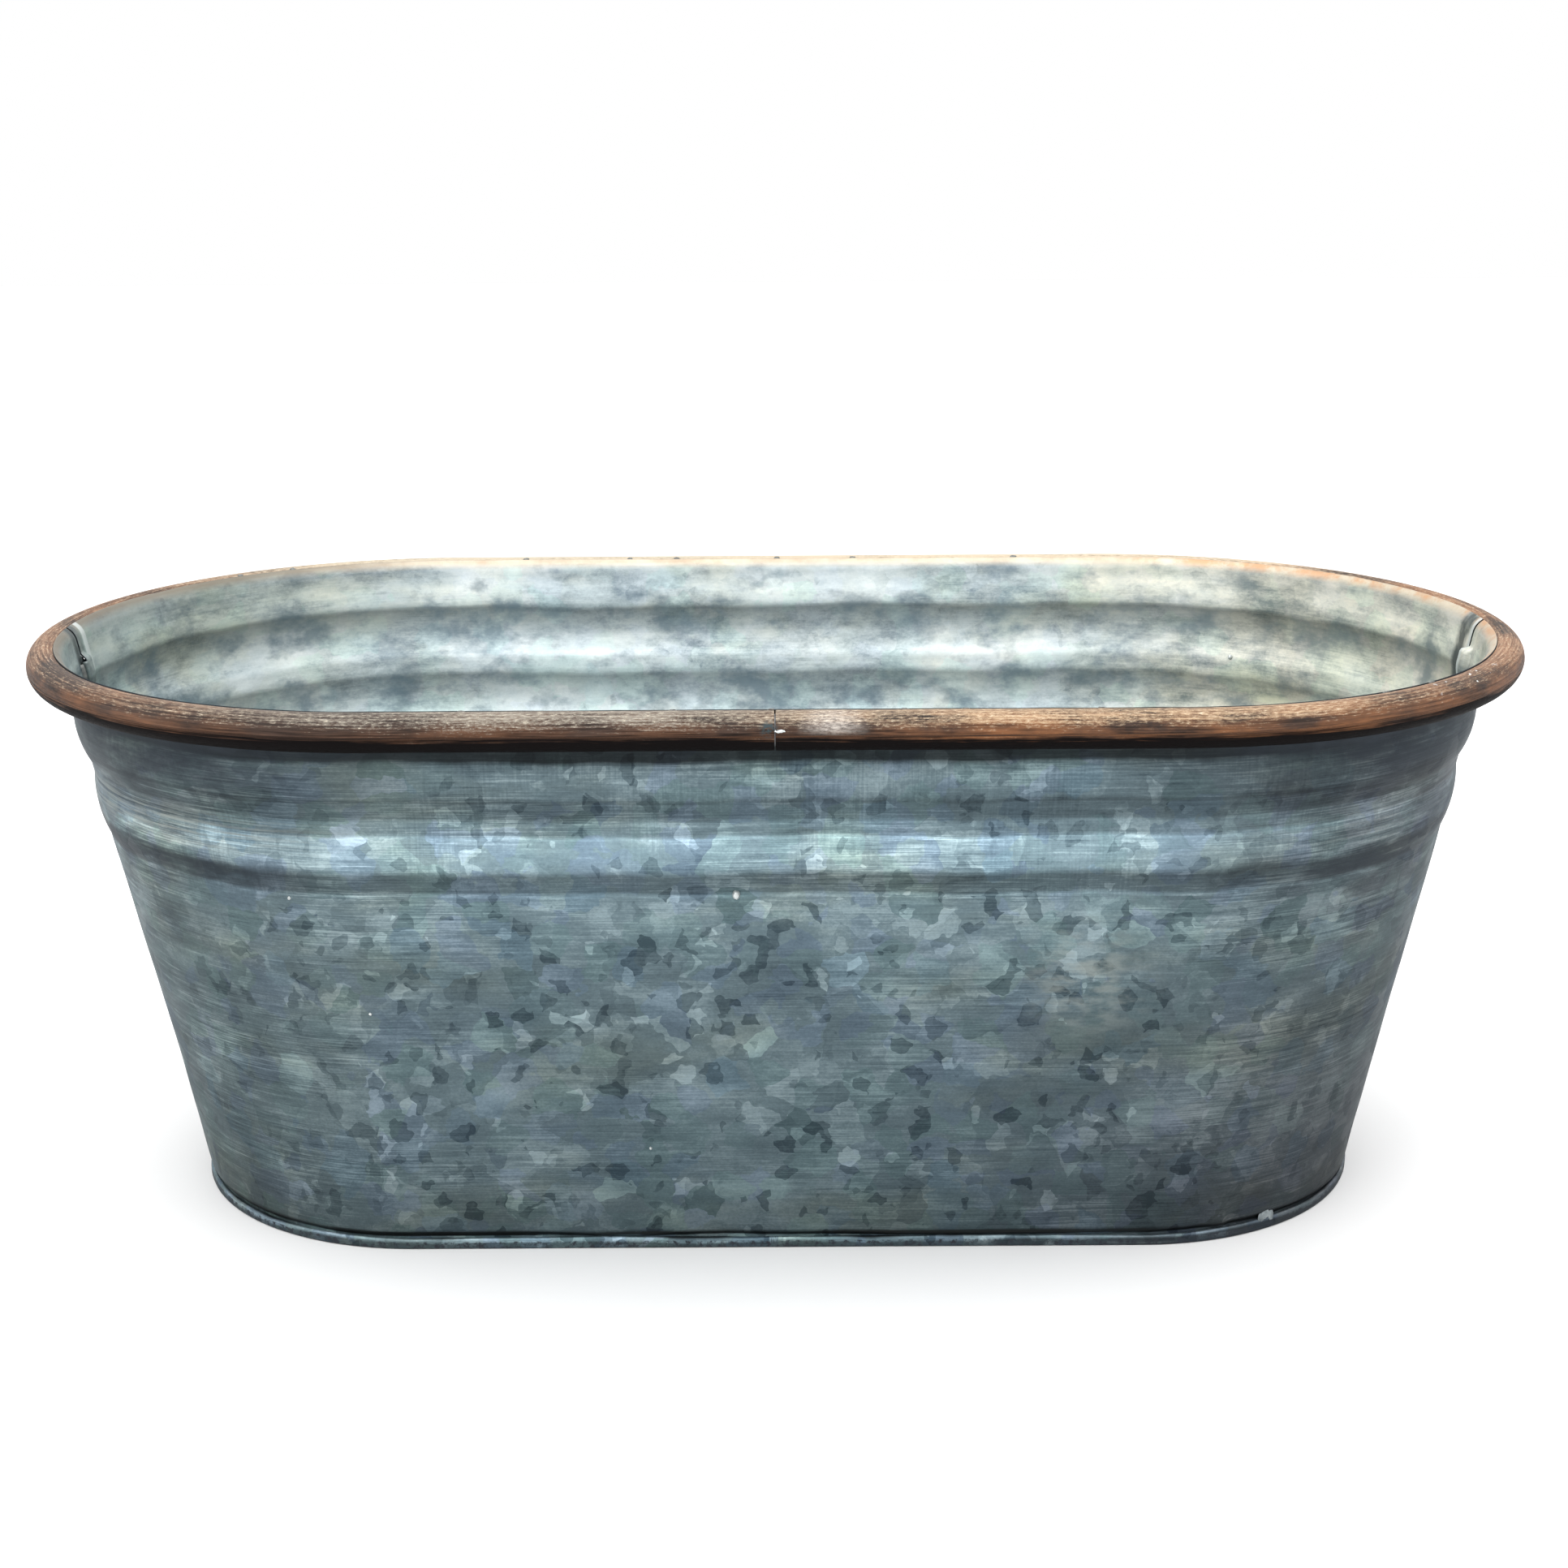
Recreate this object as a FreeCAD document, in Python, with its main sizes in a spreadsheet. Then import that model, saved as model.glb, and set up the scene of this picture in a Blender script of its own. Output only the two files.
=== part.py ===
import FreeCAD, Part
import math
import os

import Sketcher
from FreeCAD import Placement, Rotation, Vector

# Oval galvanised tub: two half sheets hooked together at the ends, a pan double-seamed
# round their foot, and a bent tube lying outside their top edge. Millimetres, +Z up.
# The origin is on the ground under the middle of the oval, with X along its length.

DRIVING_SIZES = {
    # plan of the oval: a straight run between two half circles
    "straight_length": 242.5,
    "rim_bend_radius": 122.75,
    # rim tube
    "rim_height": 187.5,
    "tube_diameter": 12.0,
    "tube_wall": 1.0,
    "tube_gap": 0.3,
    "lap_clearance": 0.02,
    "lap_reach": 3.0,
    # wall sheet: outer radius and height of each corner of its section, from the foot up
    "sheet_thickness": 0.5,
    "foot_radius": 81.75,
    "foot_step_height": 4.6,
    "wall_start_radius": 83.11,
    "wall_start_height": 6.4,
    "crease_radius": 106.89,
    "crease_height": 132.0,
    "groove_radius": 110.0,
    "groove_height": 151.6,
    "neck_radius": 111.04,
    "neck_height": 157.1,
    "throat_radius": 114.63,
    "throat_height": 176.6,
    "lower_rib_radius": 37.0,
    "upper_rib_radius": 27.0,
    # double seam round the foot
    "fold_gap": 0.05,
    "fold_radius": 0.3,
    "hook_top": 3.1,
    "hook_bend_height": 1.35,
    "cover_hook_end": 1.6,
    "pan_height": 5.5,
    "pan_bend_radius": 1.5,
    # locked seams at the two ends
    "lock_width": 6.0,
    "lock_gap": 0.25,
    "lock_bottom_radius": 83.5,
    "lock_bottom_height": 8.46,
    "lock_top_radius": 115.99,
    "lock_top_height": 184.0,
    "lock_notch_margin": 1.0,
    # solder, sealant and the dowel inside the tube's joint
    "seal_width": 1.4,
    "seal_height": 8.2,
    "seal_top_radius": 82.93,
    "seal_corner_rise": 0.21,
    "solder_leg": 0.9,
    "tack_length": 2.2,
    "tack_width": 1.4,
    "joint_bead_radius": 1.5,
    "joint_bead_sink": 1.0,
    "joint_bead_rise": 1.6,
    "dowel_length": 30.0,
    "dowel_clearance": 0.05,
    "dowel_chamfer": 0.5,
    "patch_angle": 28.8,
    "patch_width_angle": 4.4,
    "patch_height": 8.0,
    "patch_top_radius": 83.42,
}
# Solder spots on the rear run, by their place along X, and on its left bend, by the turn
# from the end of the run; the front has the same ones half a turn round.
TACK_PLACES = (-96.0, -56.0, -38.0, 1.0, 30.0, 92.0)
TACK_TURNS = (31.0, 41.0)
ENDS = {"right": 1, "left": -1}

# Planes through the origin: a section stands in YZ, with its first axis outwards along +Y;
# a lock line stands in XZ, with its first axis outwards along +X.
SECTION_PLANE = Rotation(Vector(1, 1, 1), 120)
LOCK_PLANE = Rotation(Vector(1, 0, 0), 90)
HALF_TURN = Rotation(Vector(0, 0, 1), 180)
# How a sketch counts the points of a curve, and its own origin and upright axis.
START_POINT = 1
END_POINT = 2
CENTRE_POINT = 3
ORIGIN_GEOMETRY = -1
UPRIGHT_AXIS = -2


class Size:
    """A length that is known both as a number and as a formula over the sheet's cells."""

    def __init__(self, number, formula):
        self.number = number
        self.formula = formula

    def combined(self, other, sign, number):
        formula = other.formula if isinstance(other, Size) else str(other)
        return Size(number, f"({self.formula} {sign} {formula})")

    def __add__(self, other):
        return self.combined(other, "+", self.number + number_of(other))

    def __sub__(self, other):
        return self.combined(other, "-", self.number - number_of(other))

    def __mul__(self, other):
        return self.combined(other, "*", self.number * number_of(other))

    def __truediv__(self, other):
        return self.combined(other, "/", self.number / number_of(other))

    def __neg__(self):
        return Size(-self.number, f"(-{self.formula})")


def number_of(value):
    return value.number if isinstance(value, Size) else value


def cell(alias):
    return Size(DRIVING_SIZES[alias], f"Sizes.{alias}")


def bind(feature, **sizes):
    """Binds properties of a feature to formulas over the sheet, two underscores for a dot."""
    for prop, size in sizes.items():
        feature.setExpression(prop.replace("__", "."), size.formula)


def add(kind, name, **properties):
    feature = doc.addObject(kind, name)
    for prop, value in properties.items():
        setattr(feature, prop, value)
    return feature


AXIS = Size(0.0, "0")


def make_sheet():
    sheet = doc.addObject("Spreadsheet::Sheet", "Sizes")
    for row, (alias, value) in enumerate(DRIVING_SIZES.items(), start=1):
        sheet.set(f"A{row}", alias)
        sheet.set(f"B{row}", str(value))
        sheet.setAlias(f"B{row}", alias)
    doc.recompute()


doc = FreeCAD.newDocument("oval_trough")
make_sheet()

HALF_RUN = cell("straight_length") / 2
THICKNESS = cell("sheet_thickness")
FOOT = cell("foot_radius")
GAP = cell("fold_gap")
TUBE_RADIUS = cell("tube_diameter") / 2
LAP_RADIUS = TUBE_RADIUS + cell("lap_clearance")
RIM_RADIUS = cell("rim_bend_radius")
RIM_HEIGHT = cell("rim_height")


# ---- outlines -------------------------------------------------------------------------


def bulge_middle(start, end, radius):
    """The middle of an arc that bulges to the right of the way from start to end."""
    chord = end - start
    sagitta = radius - math.sqrt(radius**2 - (chord.Length / 2) ** 2)
    side = Vector(chord.y, -chord.x, 0).normalize()
    return (start + end) / 2 + side * sagitta


def tangent_middle(before, start, end):
    """The middle of an arc that leaves start in line with the run that came from before."""
    chord = end - start
    heading = (start - before).normalize()
    turn_angle = heading.getAngle(chord)
    radius = chord.Length / (2 * math.sin(turn_angle))
    way = (heading + chord.normalize()).normalize()
    return start + way * (2 * radius * math.sin(turn_angle / 2))


def arc_through(start, middle, end):
    """An arc by three points, drawn anticlockwise as a sketch keeps it."""
    clockwise = (middle - start).cross(end - middle).z < 0
    return Part.Arc(end, middle, start) if clockwise else Part.Arc(start, middle, end)


def hold(sketch, prop, size, *constraint):
    """Adds a constraint with a size and binds it to the size's formula."""
    index = sketch.addConstraint(Sketcher.Constraint(prop, *constraint, size.number))
    sketch.setExpression(f"Constraints[{index}]", size.formula)


def pin(sketch, geometry, point, radius, height):
    """Holds a sketch point at a radius and a height from the origin."""
    if radius is AXIS:
        on_axis = ("PointOnObject", geometry, point, UPRIGHT_AXIS)
        sketch.addConstraint(Sketcher.Constraint(*on_axis))
    else:
        hold(sketch, "DistanceX", radius, ORIGIN_GEOMETRY, START_POINT, geometry, point)
    hold(sketch, "DistanceY", height, ORIGIN_GEOMETRY, START_POINT, geometry, point)


def end_nearest(sketch, geometry, place):
    """Which end of a line or arc lies at a place: arcs always run anticlockwise."""
    curve = sketch.Geometry[geometry]
    at_start = (curve.StartPoint - place).Length < (curve.EndPoint - place).Length
    return START_POINT if at_start else END_POINT


def outline(name, rotation, corners, ribs=None, rounds=(), closed=False):
    """A sketch of lines through corners, each a radius and a height.

    ribs gives the radius of each run that bulges outwards, and rounds lists the runs that
    are arcs in line with the run before them.
    """
    ribs = ribs or {}
    sketch = add("Sketcher::SketchObject", name, Placement=Placement(Vector(), rotation))
    places = [Vector(radius.number, height.number, 0) for radius, height in corners]
    runs = len(corners) if closed else len(corners) - 1
    places.append(places[0])
    for run in range(runs):
        start, end = places[run], places[run + 1]
        if run in ribs:
            middle = bulge_middle(start, end, ribs[run].number)
            sketch.addGeometry(arc_through(start, middle, end), False)
        elif run in rounds:
            middle = tangent_middle(places[run - 1], start, end)
            sketch.addGeometry(arc_through(start, middle, end), False)
        else:
            sketch.addGeometry(Part.LineSegment(start, end), False)
    begins = [end_nearest(sketch, run, places[run]) for run in range(runs)]
    stops = [END_POINT if begin == START_POINT else START_POINT for begin in begins]
    joins = range(runs) if closed else range(runs - 1)
    for run in joins:
        following = (run + 1) % runs
        kind = "Tangent" if following in rounds else "Coincident"
        join = (kind, run, stops[run], following, begins[following])
        sketch.addConstraint(Sketcher.Constraint(*join))
    for run in range(runs):
        pin(sketch, run, begins[run], *corners[run])
        if run in ribs:
            hold(sketch, "Radius", ribs[run], run)
    if not closed:
        pin(sketch, runs - 1, stops[-1], *corners[-1])
    return sketch


def wall_corners():
    """Corners of the wall's outer face from the top of its foot to the throat under the rim."""
    names = ("wall_start", "crease", "groove", "neck", "throat")
    return [(cell(f"{name}_radius"), cell(f"{name}_height")) for name in names]


def sheet_line():
    """Outer face of a half sheet: foot hook, foot, ribbed wall and the lap over the tube."""
    hook_face = FOOT + THICKNESS + GAP * 2
    bend = cell("hook_bend_height")
    corners = [(hook_face, cell("hook_top")), (hook_face, bend), (FOOT, bend)]
    corners.append((FOOT, cell("foot_step_height")))
    corners += wall_corners()
    foot_bend, lower_rib, upper_rib = 1, 5, 7
    ribs = {lower_rib: cell("lower_rib_radius"), upper_rib: cell("upper_rib_radius")}
    return outline("sheet_line", SECTION_PLANE, corners, ribs, rounds=[foot_bend])


def add_lap(sketch):
    """Adds the straight throat and the arc that laps over the tube's inner upper side."""
    centre = Vector(RIM_RADIUS.number, RIM_HEIGHT.number, 0)
    throat = Vector(cell("throat_radius").number, cell("throat_height").number, 0)
    away = centre - throat
    reach = LAP_RADIUS.number
    lean = math.atan2(away.x, away.y) - math.asin(reach / away.Length)
    tangent = centre + Vector(-math.cos(lean), math.sin(lean), 0) * reach
    cut_angle = math.acos(-cell("lap_reach").number / reach)
    touch_angle = math.pi - lean
    circle = Part.Circle(centre, Vector(0, 0, 1), reach)
    last = len(sketch.Geometry) - 1
    line = sketch.addGeometry(Part.LineSegment(throat, tangent), False)
    arc = sketch.addGeometry(Part.ArcOfCircle(circle, cut_angle, touch_angle), False)
    upper_end = end_nearest(sketch, last, throat)
    join = ("Coincident", last, upper_end, line, START_POINT)
    sketch.addConstraint(Sketcher.Constraint(*join))
    sketch.addConstraint(Sketcher.Constraint("Tangent", line, END_POINT, arc, END_POINT))
    pin(sketch, arc, CENTRE_POINT, RIM_RADIUS, RIM_HEIGHT)
    hold(sketch, "Radius", LAP_RADIUS, arc)
    cut_place = RIM_RADIUS - cell("lap_reach")
    hold(sketch, "DistanceX", cut_place, ORIGIN_GEOMETRY, START_POINT, arc, START_POINT)


def pan_line():
    """Upper face of the pan from its middle out to the wall, down, round the hook and back."""
    inner = FOOT - THICKNESS - GAP
    outer = FOOT + THICKNESS * 2 + GAP * 3
    cover = FOOT + THICKNESS + GAP
    top, bend = cell("pan_height"), cell("pan_bend_radius")
    fold, hook_top = cell("fold_radius"), cell("hook_top")
    corners = [
        (AXIS, top),
        (inner - bend, top),
        (inner, top - bend),
        (inner, THICKNESS + fold),
        (inner + fold, THICKNESS),
        (outer - fold, THICKNESS),
        (outer, THICKNESS + fold),
        (outer, hook_top),
        (cover, hook_top),
        (cover, cell("cover_hook_end")),
    ]
    panel_bend, inner_fold, outer_fold, top_fold = 1, 3, 5, 7
    rounds = [panel_bend, inner_fold, outer_fold, top_fold]
    return outline("pan_line", SECTION_PLANE, corners, rounds=rounds)


# ---- solids from sections -------------------------------------------------------------


def offset(name, source, distance, fill):
    """A line moved sideways, or with fill the band between the line and its offset.

    A positive distance moves the pan's line downwards and a lock line inwards, and a
    negative one moves the wall's line inwards.
    """
    band = add("Part::Offset2D", name, Source=source, Mode="Skin", Join="Arc", Fill=fill)
    bind(band, Value=distance)
    return band


def extrude_along(name, section, direction, forward, backward):
    block = add("Part::Extrusion", name, Base=section, DirMode="Custom", Dir=direction)
    block.Solid = True
    bind(block, LengthFwd=forward, LengthRev=backward)
    return block


def turn(name, section, angle, side):
    """A section turned about the upright axis of the right (1) or left (-1) end."""
    bend = add("Part::Revolution", name, Source=section, Axis=Vector(0, 0, 1), Solid=True)
    bend.Angle = angle
    bind(bend, Placement__Base__x=HALF_RUN * side)
    return bend


def fuse(name, shapes):
    return add("Part::MultiFuse", name, Shapes=shapes, Refine=True)


def ring(name, section):
    """A section carried all round the oval: two straight runs and two half circles."""
    rear = extrude_along(f"{name}_rear_run", section, Vector(1, 0, 0), HALF_RUN, HALF_RUN)
    front = add("Part::Mirroring", f"{name}_front_run", Source=rear, Normal=Vector(0, 1, 0))
    bends = [turn(f"{name}_{end}_bend", section, -180 * side, side) for end, side in ENDS.items()]
    return fuse(f"{name}_ring", [rear, front, *bends])


def finish(label, feature):
    """Names a sub-part: the label is also the name of its file."""
    feature.Label = label
    return feature


# ---- wall halves ----------------------------------------------------------------------


def lock_strips(lines, right_hand):
    """The layers of an end seam, as (line, band thickness, from y, to y), for one sheet.

    The four layers are one pitch apart, counted inwards from the outer face. The under
    sheet has layers 0 and 2 and its fold on the front side; the over sheet steps in to
    layer 3 and folds back to layer 1.
    """
    half_lock = cell("lock_width") / 2
    slack = cell("lock_gap")
    pitch = THICKNESS + slack
    two_layers = pitch * 2 + THICKNESS
    if right_hand:
        fold_end = -half_lock + THICKNESS
        return [
            (lines[0], THICKNESS, -half_lock, AXIS),
            (lines[0], two_layers, -half_lock, fold_end),
            (lines[2], THICKNESS, -half_lock, half_lock - THICKNESS - slack),
        ]
    step_end = -half_lock - slack
    step_start = step_end - THICKNESS
    return [
        (lines[0], pitch * 3 + THICKNESS, step_start, step_end),
        (lines[3], THICKNESS, step_start, half_lock),
        (lines[1], two_layers, half_lock - THICKNESS, half_lock),
        (lines[1], THICKNESS, -half_lock + THICKNESS + slack, half_lock),
    ]


def lock_lines():
    """Lines one pitch apart, at the right end, that the layers of the seam are built on."""
    low = (cell("lock_bottom_radius"), cell("lock_bottom_height"))
    high = (cell("lock_top_radius"), cell("lock_top_height"))
    corners = [low, *wall_corners()[1:], high]
    ribs = {1: cell("lower_rib_radius"), 3: cell("upper_rib_radius")}
    base = outline("lock_line", LOCK_PLANE, corners, ribs)
    base.setExpression("Placement.Base.x", HALF_RUN.formula)
    pitch = THICKNESS + cell("lock_gap")
    deeper = [offset(f"lock_line_{n}", base, pitch * n, False) for n in (1, 2, 3)]
    return [base, *deeper]


def lock_solids(lines, right_hand):
    name = "under" if right_hand else "over"
    solids = []
    for number, (line, depth, low, high) in enumerate(lock_strips(lines, right_hand)):
        band = offset(f"{name}_band_{number}", line, depth, True)
        strip_name = f"{name}_strip_{number}"
        solids.append(extrude_along(strip_name, band, Vector(0, 1, 0), high, -low))
    return solids


def lock_notch():
    """Room cut from the left end of the sheet, where the other sheet's layers go."""
    margin = cell("lock_notch_margin")
    width = cell("lock_width") / 2 + cell("lock_gap") + THICKNESS
    notch = add("Part::Box", "lock_notch")
    depth = RIM_RADIUS - cell("lock_bottom_radius")
    low = cell("lock_bottom_height") - THICKNESS
    bind(notch, Length=depth + margin * 2, Width=width + margin)
    bind(notch, Height=cell("lock_top_height") + THICKNESS - low)
    bind(notch, Placement__Base__x=-(HALF_RUN + RIM_RADIUS) - margin)
    bind(notch, Placement__Base__y=-margin, Placement__Base__z=low)
    return notch


def wall_halves(lines):
    """Two alike half sheets, one turned half round, hooked into each other at the ends."""
    line = sheet_line()
    add_lap(line)
    section = offset("sheet_section", line, -THICKNESS, True)
    run = extrude_along("sheet_run", section, Vector(1, 0, 0), HALF_RUN, HALF_RUN)
    bends = [turn(f"sheet_{end}_bend", section, -90 * side, side) for end, side in ENDS.items()]
    shell = fuse("sheet_shell", [run, *bends])
    notched = add("Part::Cut", "notched_shell", Base=shell, Tool=lock_notch())
    under = lock_solids(lines, True)
    over = fuse("over_lock", lock_solids(lines, False))
    over.Placement = Placement(Vector(), HALF_TURN)
    rear = finish("rear_wall", fuse("rear_half", [notched, *under, over]))
    front = finish("front_wall", fuse("front_half", [notched, *under, over]))
    front.Placement = Placement(Vector(), HALF_TURN)
    return [rear, front]


# ---- pan, rim and small pieces --------------------------------------------------------


def bottom_pan():
    section = offset("pan_section", pan_line(), THICKNESS, True)
    return finish("bottom_pan", ring("pan", section))


def rim_tube():
    """Tube bent to the oval, its two ends meeting at the middle of the front."""
    circles = add("Sketcher::SketchObject", "tube_section")
    circles.Placement = Placement(Vector(), SECTION_PLANE)
    centre = Vector(RIM_RADIUS.number, RIM_HEIGHT.number, 0)
    for radius in (TUBE_RADIUS, TUBE_RADIUS - cell("tube_wall")):
        circle = Part.Circle(centre, Vector(0, 0, 1), radius.number)
        geometry = circles.addGeometry(circle, False)
        pin(circles, geometry, CENTRE_POINT, RIM_RADIUS, RIM_HEIGHT)
        hold(circles, "Radius", radius, geometry)
    face = add("Part::Face", "tube_face", Sources=[circles])
    joint = add("Part::Box", "tube_joint_gap")
    room = cell("tube_diameter") * 2
    bind(joint, Length=cell("tube_gap"), Width=room, Height=room)
    bind(joint, Placement__Base__x=-cell("tube_gap") / 2)
    bind(joint, Placement__Base__y=-RIM_RADIUS - cell("tube_diameter"))
    bind(joint, Placement__Base__z=RIM_HEIGHT - cell("tube_diameter"))
    tube = add("Part::Cut", "split_tube", Base=ring("tube", face), Tool=joint)
    return finish("rim_tube", tube)


def body_sketch(body, name, role):
    """A sketch on one of the body's own origin planes."""
    sketch = body.newObject("Sketcher::SketchObject", name)
    plane = next(part for part in body.Origin.OriginFeatures if part.Role == role)
    sketch.AttachmentSupport = [(plane, "")]
    sketch.MapMode = "FlatFace"
    return sketch


def rim_joint_dowel():
    """Round plug inside the tube that keeps its two ends in line."""
    body = doc.addObject("PartDesign::Body", "dowel")
    sketch = body_sketch(body, "dowel_circle", "YZ_Plane")
    radius = TUBE_RADIUS - cell("tube_wall") - cell("dowel_clearance")
    circle = Part.Circle(Vector(), Vector(0, 0, 1), radius.number)
    sketch.addGeometry(circle, False)
    centre = ("Coincident", 0, CENTRE_POINT, ORIGIN_GEOMETRY, START_POINT)
    sketch.addConstraint(Sketcher.Constraint(*centre))
    hold(sketch, "Radius", radius, 0)
    pad = body.newObject("PartDesign::Pad", "dowel_length")
    pad.Profile = sketch
    pad.Midplane = True
    bind(pad, Length=cell("dowel_length"))
    doc.recompute()
    chamfer = body.newObject("PartDesign::Chamfer", "dowel_ends")
    rims = [i for i, edge in enumerate(pad.Shape.Edges, 1) if edge.Closed]
    chamfer.Base = (pad, [f"Edge{i}" for i in rims])
    bind(chamfer, Size=cell("dowel_chamfer"))
    bind(body, Placement__Base__y=-RIM_RADIUS, Placement__Base__z=RIM_HEIGHT)
    return finish("rim_joint_dowel", body)


def rim_joint_bead():
    """Small bead of solder across the tube's joint, on its outer side a little above the middle."""
    bead = add("Part::Sphere", "bead_ball")
    bind(bead, Radius=cell("joint_bead_radius"))
    bind(bead, Placement__Base__y=-RIM_RADIUS - TUBE_RADIUS + cell("joint_bead_sink"))
    bind(bead, Placement__Base__z=RIM_HEIGHT + cell("joint_bead_rise"))
    core = add("Part::Cylinder", "bead_seat")
    core.Placement = Placement(Vector(), Rotation(Vector(0, 1, 0), 90))
    bind(core, Radius=TUBE_RADIUS, Height=cell("dowel_length"))
    bind(core, Placement__Base__x=-cell("dowel_length") / 2)
    bind(core, Placement__Base__y=-RIM_RADIUS, Placement__Base__z=RIM_HEIGHT)
    return finish("rim_joint_bead", add("Part::Cut", "joint_bead", Base=bead, Tool=core))


def tack_face():
    """Section of a solder spot: it fills the step from the lap's cut edge to the tube."""
    centre = Vector(RIM_RADIUS.number, RIM_HEIGHT.number, 0)
    reach = LAP_RADIUS.number
    cut_angle = math.acos(-cell("lap_reach").number / reach)
    toe_angle = cut_angle - cell("tack_width").number / reach

    def on_circle(angle, radius):
        return centre + Vector(math.cos(angle), math.sin(angle), 0) * radius

    inner, toe = on_circle(cut_angle, reach), on_circle(toe_angle, reach)
    outer = on_circle(cut_angle, reach + THICKNESS.number)
    seat = Part.Arc(toe, on_circle((cut_angle + toe_angle) / 2, reach), inner)
    sides = [Part.LineSegment(inner, outer), Part.LineSegment(outer, toe), seat]
    face = Part.Face(Part.Wire([side.toShape() for side in sides]))
    face.Placement = Placement(Vector(), SECTION_PLANE)
    return face


def rim_tacks():
    """Spots of solder along the lap's cut edge that hold the sheet to the tube."""
    length = cell("tack_length").number
    spot = tack_face().extrude(Vector(length, 0, 0))
    spot.translate(Vector(-length / 2, 0, 0))
    spots = []
    for place in TACK_PLACES:
        spots.append(spot.translated(Vector(place, 0, 0)))
    for turn_angle in TACK_TURNS:
        turned = spot.rotated(Vector(), Vector(0, 0, 1), turn_angle)
        spots.append(turned.translated(Vector(-HALF_RUN.number, 0, 0)))
    opposite = [one.rotated(Vector(), Vector(0, 0, 1), 180) for one in spots]
    group = doc.addObject("Part::Feature", "tack_group")
    group.Shape = Part.makeCompound(spots + opposite)
    return finish("rim_tack_spots", group)


def foot_sealant():
    """Bead of sealant lying all round in the corner between the pan and the wall.

    The corners of the wall's inner face lie a little above those of its outer face.
    """
    inner = FOOT - THICKNESS
    pan_edge = inner - GAP
    bend = cell("pan_bend_radius")
    top = cell("pan_height")
    rise = cell("seal_corner_rise")
    corners = [
        (pan_edge - bend - cell("seal_width"), top),
        (pan_edge - bend, top),
        (pan_edge, top - bend),
        (inner, top - bend),
        (inner, cell("foot_step_height") + rise),
        (cell("wall_start_radius") - THICKNESS, cell("wall_start_height") + rise),
        (cell("seal_top_radius"), cell("seal_height")),
    ]
    pan_bend = 1
    section = outline("sealant_section", SECTION_PLANE, corners, rounds=[pan_bend], closed=True)
    face = add("Part::Face", "sealant_face", Sources=[section])
    return finish("foot_sealant", ring("sealant", face))


def lock_solder(base):
    """A bead of solder down the corner beside each end seam, on the inside."""
    leg = cell("solder_leg")
    start = cell("lock_width") / 2
    inside = offset("solder_line", base, THICKNESS + GAP * 2, False)
    band = offset("solder_band", inside, leg, True)
    beads = []
    for end in ENDS:
        bead = extrude_along(f"{end}_solder", band, Vector(0, 1, 0), start + leg, -start)
        beads.append(finish(f"{end}_seam_solder", bead))
    beads[1].Placement = Placement(Vector(), HALF_TURN)
    return beads


def foot_patch():
    """Lump of solder that bridges the foot seam and the wall near the front right bend."""
    low = cell("hook_top") + cell("fold_radius") + THICKNESS
    start = cell("wall_start_radius")
    corners = [
        (FOOT, low + GAP),
        (start + THICKNESS, low + GAP),
        (cell("patch_top_radius"), cell("patch_height")),
        (start, cell("wall_start_height")),
        (FOOT, cell("foot_step_height")),
    ]
    section = outline("patch_section", SECTION_PLANE, corners, closed=True)
    face = add("Part::Face", "patch_face", Sources=[section])
    lump = add("Part::Revolution", "patch_lump", Source=face, Axis=Vector(0, 0, 1), Solid=True)
    lump.Placement = Placement(Vector(), HALF_TURN)
    bind(lump, Angle=cell("patch_width_angle"), Placement__Base__x=HALF_RUN)
    lump.setExpression("Placement.Rotation.Angle", "180 + Sizes.patch_angle")
    return finish("foot_seam_solder", lump)


# ---- checking and writing -------------------------------------------------------------


def check_document():
    doc.recompute()
    for item in doc.Objects:
        if {"Invalid", "Error"} & set(item.State):
            raise RuntimeError(f"{item.Name} failed: {item.State}")


def write(parts):
    os.makedirs("parts", exist_ok=True)
    for part in parts:
        shape = part.Shape
        if shape.isNull() or not shape.isValid() or not shape.Solids:
            raise RuntimeError(f"{part.Label} has no valid solid")
        shape.exportStep(f"parts/{part.Label}.step")
        box = shape.optimalBoundingBox()
        size = f"{box.XLength:.2f} x {box.YLength:.2f} x {box.ZLength:.2f}"
        print(f"{part.Label}: {len(shape.Solids)} solid(s), {size} mm, {shape.Volume:.1f} mm3")


lock_base = lock_lines()
parts = wall_halves(lock_base)
parts += [bottom_pan(), rim_tube(), rim_joint_dowel(), rim_joint_bead(), rim_tacks()]
parts += lock_solder(lock_base[0])
parts += [foot_sealant(), foot_patch()]
check_document()
write(parts)
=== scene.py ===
import math

import bmesh
import bpy
import numpy as np
from mathutils import Matrix, Vector


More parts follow.
